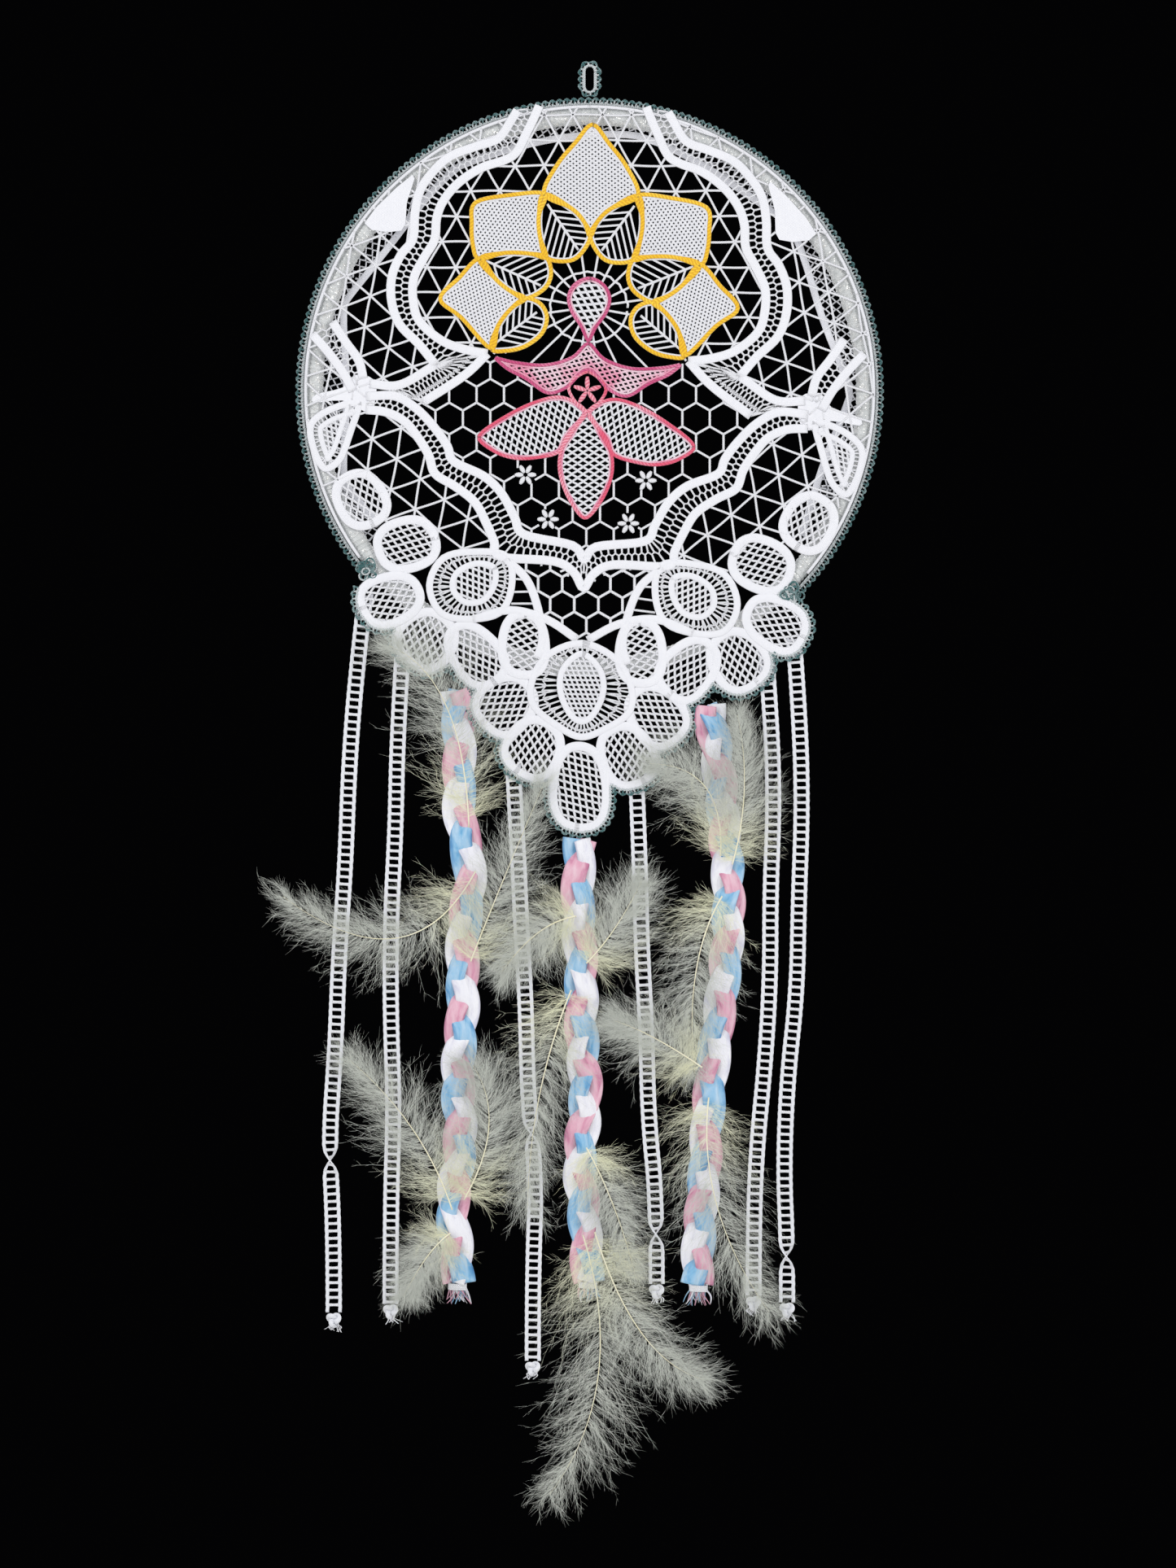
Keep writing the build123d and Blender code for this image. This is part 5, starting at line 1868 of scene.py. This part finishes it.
# ---------------------------------------------------------------- feathers
@dataclass
class Feather:
    """Fluffy feather tied to a braid."""

    panel: Panel
    number: int
    side: str
    foot: Point
    middle: Point
    tip: Point
    half_width: float
    deck: int
    lean: float
    barbs: int = 560
    hairs: int = 11
    fluff: float = 2.0
    barb_points: int = 9
    nearest: float = -34.5
    leftmost: float = -198.0
    lace_front: float = -7.5
    swing_room: float = 3.0
    deck_front: float = 10.0
    deck_step: float = 1.8
    deck_gap: float = 0.5

    def build(self) -> bpy.types.Object:
        """Builds the quill and its down.

        Returns:
            The feather's object.
        """
        rng = np.random.default_rng(100 + self.number)
        top = BRAID_TOPS[self.side]
        front = self.deck_front + self.deck_step * self.deck + self.deck_gap * (self.deck - 1)
        foot, middle, tip = np.array([self.foot, self.middle, self.tip])
        pull = 2 * middle - (foot + tip) / 2
        t = np.linspace(0, 1, 40)[:, None]
        bend = (1 - t) ** 2 * foot + 2 * t * (1 - t) * pull + t**2 * tip
        rise = bend[:, 1] - self.foot[1]
        depth = -front - 1.0 - 2.2 * np.sin(np.pi * t[:, 0]) + np.tan(math.radians(self.lean)) * -rise
        x = top[0] / MM + bend[:, 0]
        z = (HOOP_MIDDLE + top[1]) / MM + bend[:, 1]
        quill = np.column_stack([x, depth, z])
        way = headings(quill)
        aside = level(way)
        threads = Threads(self.panel)
        threads.sweep(quill, aside, np.linspace(0.5, 0.1, 40), np.linspace(0.45, 0.1, 40), 8)
        self.down(threads, quill, way, aside, rng)
        return threads.piece(f"feather_down_{self.number:02d}", [Finish.QUILL, Finish.DOWN], f"plait_{self.side}",
                             [f"feather_{self.number:02d}"])

    def down(self, threads: Threads, quill: np.ndarray, way: np.ndarray, aside: np.ndarray,
             rng: np.random.Generator) -> None:
        """Adds the barbs and the finer barbules on them.

        Args:
            threads: the mesh to add to.
            quill: the quill's points.
            way: its direction at each.
            aside: its side at each.
            rng: where the unevenness comes from.
        """
        count = self.barbs
        grows = rng.uniform(0.02, 0.995, count)
        side = rng.choice([-1.0, 1.0], count)
        spots = grows * (len(quill) - 1)
        low = np.minimum(spots.astype(int), len(quill) - 2)
        share = (spots - low)[:, None]
        root = quill[low] * (1 - share) + quill[low + 1] * share + [0, 0.35, 0]
        ahead, out = way[low], aside[low] * side[:, None]
        tuft = (grows * 24).astype(int) * 2 + (side > 0)
        lay, curl, long, lift = 0.55 * rng.normal(0, 1, (4, 60))[:, tuft] + rng.normal(0, 0.85, (4, count))
        spread = 0.5 + 0.5 * np.sin(np.pi * np.clip(grows * 1.12, 0, 1) ** 0.7) ** 0.7
        reach = self.half_width * self.fluff * spread * (1 + 0.1 * long) * rng.beta(2.3, 1.7, count) * 1.45
        steps = self.barb_points
        u = np.linspace(0, 1, steps)
        start = np.radians(82 - 42 * grows + 11 * lay)
        bend = np.radians(34 + 30 * curl)
        wave = rng.normal(0, 0.22, (count, 1))
        wave = wave * np.sin(u * rng.uniform(3, 9, (count, 1)) + rng.uniform(0, 6, (count, 1)))
        angle = start[:, None] - bend[:, None] * u + wave * u
        strides = polar(angle[:, 1:]) * reach[:, None, None] / (steps - 1)
        run = np.concatenate([np.zeros((count, 1, 2)), np.cumsum(strides, axis=1)], axis=1)
        lines = root[:, None] + ahead[:, None] * run[..., :1] + out[:, None] * run[..., 1:]
        lines[..., 1] -= np.clip(0.15 * lift + 0.06, 0.0, 0.32)[:, None] * np.minimum(reach, 20)[:, None] * u**1.5
        self.clear(lines)
        heading = unit(np.gradient(lines, axis=1))
        facing = rolled(level(heading), rng.normal(0, 0.5, (count, 1, 1)))
        widths = np.broadcast_to(0.12 * (1 - u) ** 0.6 + 0.035, (count, steps)) * rng.uniform(0.5, 1.2, (count, 1))
        tint = np.clip(0.5 + 0.22 * lay + rng.normal(0, 0.12, count), 0, 1)
        threads.ribbons(lines, facing, widths, 1, tint, grows)
        self.barbules(threads, lines, heading, facing, tint, grows, rng)

    def clear(self, points: np.ndarray) -> None:
        """Moves points off the lace, with room for the braid's swing, and into the room left for down.

        Args:
            points: barbs or hairs, changed in place.
        """
        top = (HOOP_MIDDLE + BRAID_TOPS[self.side][1]) / MM
        above = np.maximum(points[..., 2] - top + self.swing_room, 0)
        slope = math.tan(math.radians(BRAID_SWINGS[self.side]))
        points[..., 1] = np.maximum(np.minimum(points[..., 1], self.lace_front - slope * above), self.nearest)
        points[..., 0] = np.maximum(points[..., 0], self.leftmost)

    def barbules(self, threads: Threads, lines: np.ndarray, heading: np.ndarray, facing: np.ndarray,
                 tint: np.ndarray, grows: np.ndarray, rng: np.random.Generator) -> None:
        """Adds the fine hairs on the barbs.

        Args:
            threads: the mesh to add to.
            lines: the barbs' points.
            heading: their direction at each.
            facing: their side at each.
            tint: each barb's shade.
            grows: each barb's place on the quill.
            rng: where the unevenness comes from.
        """
        count, steps, _ = lines.shape
        each = self.hairs
        spots = rng.uniform(0.02, 0.97, (count, each)) * (steps - 1.02)
        low = spots.astype(int)
        share = (spots - low)[..., None]
        row = np.arange(count)[:, None]
        root = lines[row, low] * (1 - share) + lines[row, low + 1] * share
        side = np.where(np.arange(each) % 2 == 0, 1.0, -1.0)[None, :, None]
        lean = rng.uniform(0.1, 1.0, (count, each, 1))
        way = heading[row, low] * np.cos(lean) + facing[row, low] * side * np.sin(lean)
        way[..., 1] += rng.normal(0, 0.12, (count, each))
        long = rng.uniform(1.6, 6.2, (count, each, 1))
        u = np.linspace(0, 1, 3)
        hairs = root[:, :, None] + way[:, :, None] * (long[:, :, None] * u[None, None, :, None])
        hairs = hairs + heading[row, low][:, :, None] * (long[:, :, None] * 0.35 * u[None, None, :, None] ** 2)
        hairs = hairs.reshape(-1, 3, 3)
        self.clear(hairs)
        flat = level(way).reshape(-1, 1, 3)
        widths = np.broadcast_to([0.068, 0.058, 0.022], (count * each, 3))
        threads.ribbons(hairs, np.broadcast_to(flat, hairs.shape), widths, 1, np.repeat(tint, each),
                        np.repeat(grows, each))


FEATHERS = [
    ("left", (8, -80), (-5, -8), (-39, 28), 16, 1, 8),
    ("left", (12, -106), (-36, -146), (-103, -121), 15, 1, 0),
    ("left", (9, -160), (27, -115), (53, -53), 14, 1, 0),
    ("left", (-2, -308), (-26, -259), (-64, -218), 16, 1, 0),
    ("left", (5, -302), (20, -257), (9, -220), 15, 1, 0),
    ("left", (-3, -322), (-17, -336), (-31, -360), 11, 1, 0),
    ("centre", (3, -74), (20, -53), (36, -25), 14, 1, 0),
    ("centre", (-3, -46), (-26, -56), (-48, -80), 13, 1, 0),
    ("centre", (-6, -90), (-25, -153), (-32, -220), 15, 1, 0),
    ("centre", (3, -184), (19, -218), (32, -259), 13, 1, 0),
    ("centre", (1, -236), (10, -320), (-19, -391), 19, 1, 0),
    ("centre", (8, -234), (36, -294), (73, -322), 15, 2, 0),
    ("right", (-5, -216), (-34, -198), (-58, -188), 13, 2, 0),
    ("right", (6, -90), (-3, -49), (-36, -35), 15, 1, 0),
    ("right", (13, -95), (20, -50), (16, -6), 13, 2, 0),
    ("right", (7, -114), (-9, -161), (-9, -222), 15, 1, 0),
    ("right", (-1, -234), (4, -299), (35, -362), 18, 1, 0),
]


# ---------------------------------------------------------------- studio
@dataclass
class Studio:
    """Camera, lamps, dark backdrop and pale floor, in metres."""

    distance: float = 2.61
    lens: float = 100.0
    aim: tuple[float, float] = (-0.001, -0.4297)
    floor_height: float = -1.09
    floor_radius: float = 0.8
    sensor: float = 36.0
    lamp_power: float = 19.5
    lamp_size: tuple[float, float] = (1.0, 1.4)
    lamp_aim: tuple[float, float, float] = (0, 0, -0.4)
    room_light: float = 0.64
    room: tuple[float, ...] = (1.0, 1.0, 1.0, 1.0)
    backdrop: tuple[float, ...] = (0.001, 0.001, 0.0012, 1.0)

    def build(self) -> None:
        """Builds all of it."""
        self.camera()
        self.lamps()
        self.world()
        self.floor()

    def camera(self) -> None:
        """Sets up the camera, level with the middle of the strands."""
        camera = bpy.data.objects.new("camera", bpy.data.cameras.new("camera"))
        camera.data.lens = self.lens
        camera.data.sensor_width = self.sensor
        camera.data.sensor_fit = "AUTO"
        camera.location = (self.aim[0], -self.distance, self.aim[1])
        camera.rotation_euler = (math.radians(90), 0, 0)
        bpy.context.scene.collection.objects.link(camera)
        bpy.context.scene.camera = camera

    def lamps(self) -> None:
        """Sets up two soft boxes in front and a weaker pair behind."""
        for name, place, share in (("soft_box_left", (-1.4, -1.7, 0.3), 1.0),
                                   ("soft_box_right", (1.5, -1.6, 0.0), 0.85),
                                   ("soft_box_back", (-1.0, 1.9, 0.2), 0.6),
                                   ("soft_box_top", (0.9, 1.5, 0.8), 0.3)):
            light = bpy.data.lights.new(name, "AREA")
            light.shape = "RECTANGLE"
            light.size, light.size_y = self.lamp_size
            light.energy = self.lamp_power * share
            lamp = bpy.data.objects.new(name, light)
            lamp.location = place
            lamp.rotation_euler = (Vector(self.lamp_aim) - Vector(place)).to_track_quat("-Z", "Y").to_euler()
            bpy.context.scene.collection.objects.link(lamp)

    def world(self) -> None:
        """Lights the room softly and leaves its backdrop black."""
        world = bpy.data.worlds.new("studio")
        world.use_nodes = True
        bpy.context.scene.world = world
        graph = Graph(world.node_tree)
        rays = graph.node("ShaderNodeLightPath", {}, {})
        camera, glossy, through = (graph.read(rays, f"Is {ray} Ray") for ray in ("Camera", "Glossy", "Transmission"))
        seen = (camera + glossy + through).clamped()
        room = graph.node("ShaderNodeBackground", {}, {"Color": self.room, "Strength": self.room_light})
        dark = graph.node("ShaderNodeBackground", {}, {"Color": self.backdrop, "Strength": 1.0})
        mixed = graph.node("ShaderNodeMixShader", {}, {0: seen, 1: graph.read(room), 2: graph.read(dark)})
        graph.node("ShaderNodeOutputWorld", {}, {"Surface": graph.read(mixed)})

    def floor(self) -> None:
        """Lays the floor under the strands."""
        turn = circle(96)
        edge = self.floor_radius
        rings = [(0.02, 0.0), (0.4, 0.0), (edge - 0.01, 0.0), (edge, -0.004), (edge, -0.02)]
        points, count = [], len(turn)
        for radius, drop in rings:
            points += [(radius * math.cos(a), radius * math.sin(a), self.floor_height + drop) for a in turn]
        faces = [(low + k, low + count + k, low + count + (k + 1) % count, low + (k + 1) % count)
                 for low in range(0, count * (len(rings) - 1), count) for k in range(count)]
        faces.append(tuple(range(count)))
        mesh = bpy.data.meshes.new("floor")
        mesh.from_pydata(points, [], faces)
        mesh.materials.append(Finish.FLOOR.value.material())
        floor = bpy.data.objects.new("floor", mesh)
        bpy.context.scene.collection.objects.link(floor)


def main() -> None:
    """Builds the studio and every piece in order."""
    logging.basicConfig(level=logging.INFO, format="%(name)s %(message)s")
    bpy.context.scene.view_settings.view_transform = "Standard"
    Studio().build()
    panel = Panel.from_frame()
    twists = {1: ((0.79, 1.0),), 2: (), 3: ((0.62, 1.0),), 4: ((0.9, 1.0),), 5: (), 6: ((0.93, 1.0),)}
    for number in range(1, 7):
        LadderTape(panel, number, twists[number]).build()
    for side, start in (("left", 0.4), ("centre", 2.0), ("right", 4.1)):
        Braid(panel, side, start).build()
    Hoop(panel).build()
    CrochetEdging(panel).build()
    HangingLoop(panel).build()
    LacePanel(panel).build()
    for number, feather in enumerate(FEATHERS, start=1):
        Feather(panel, number, *feather).build()


if __name__ == "__main__":
    main()
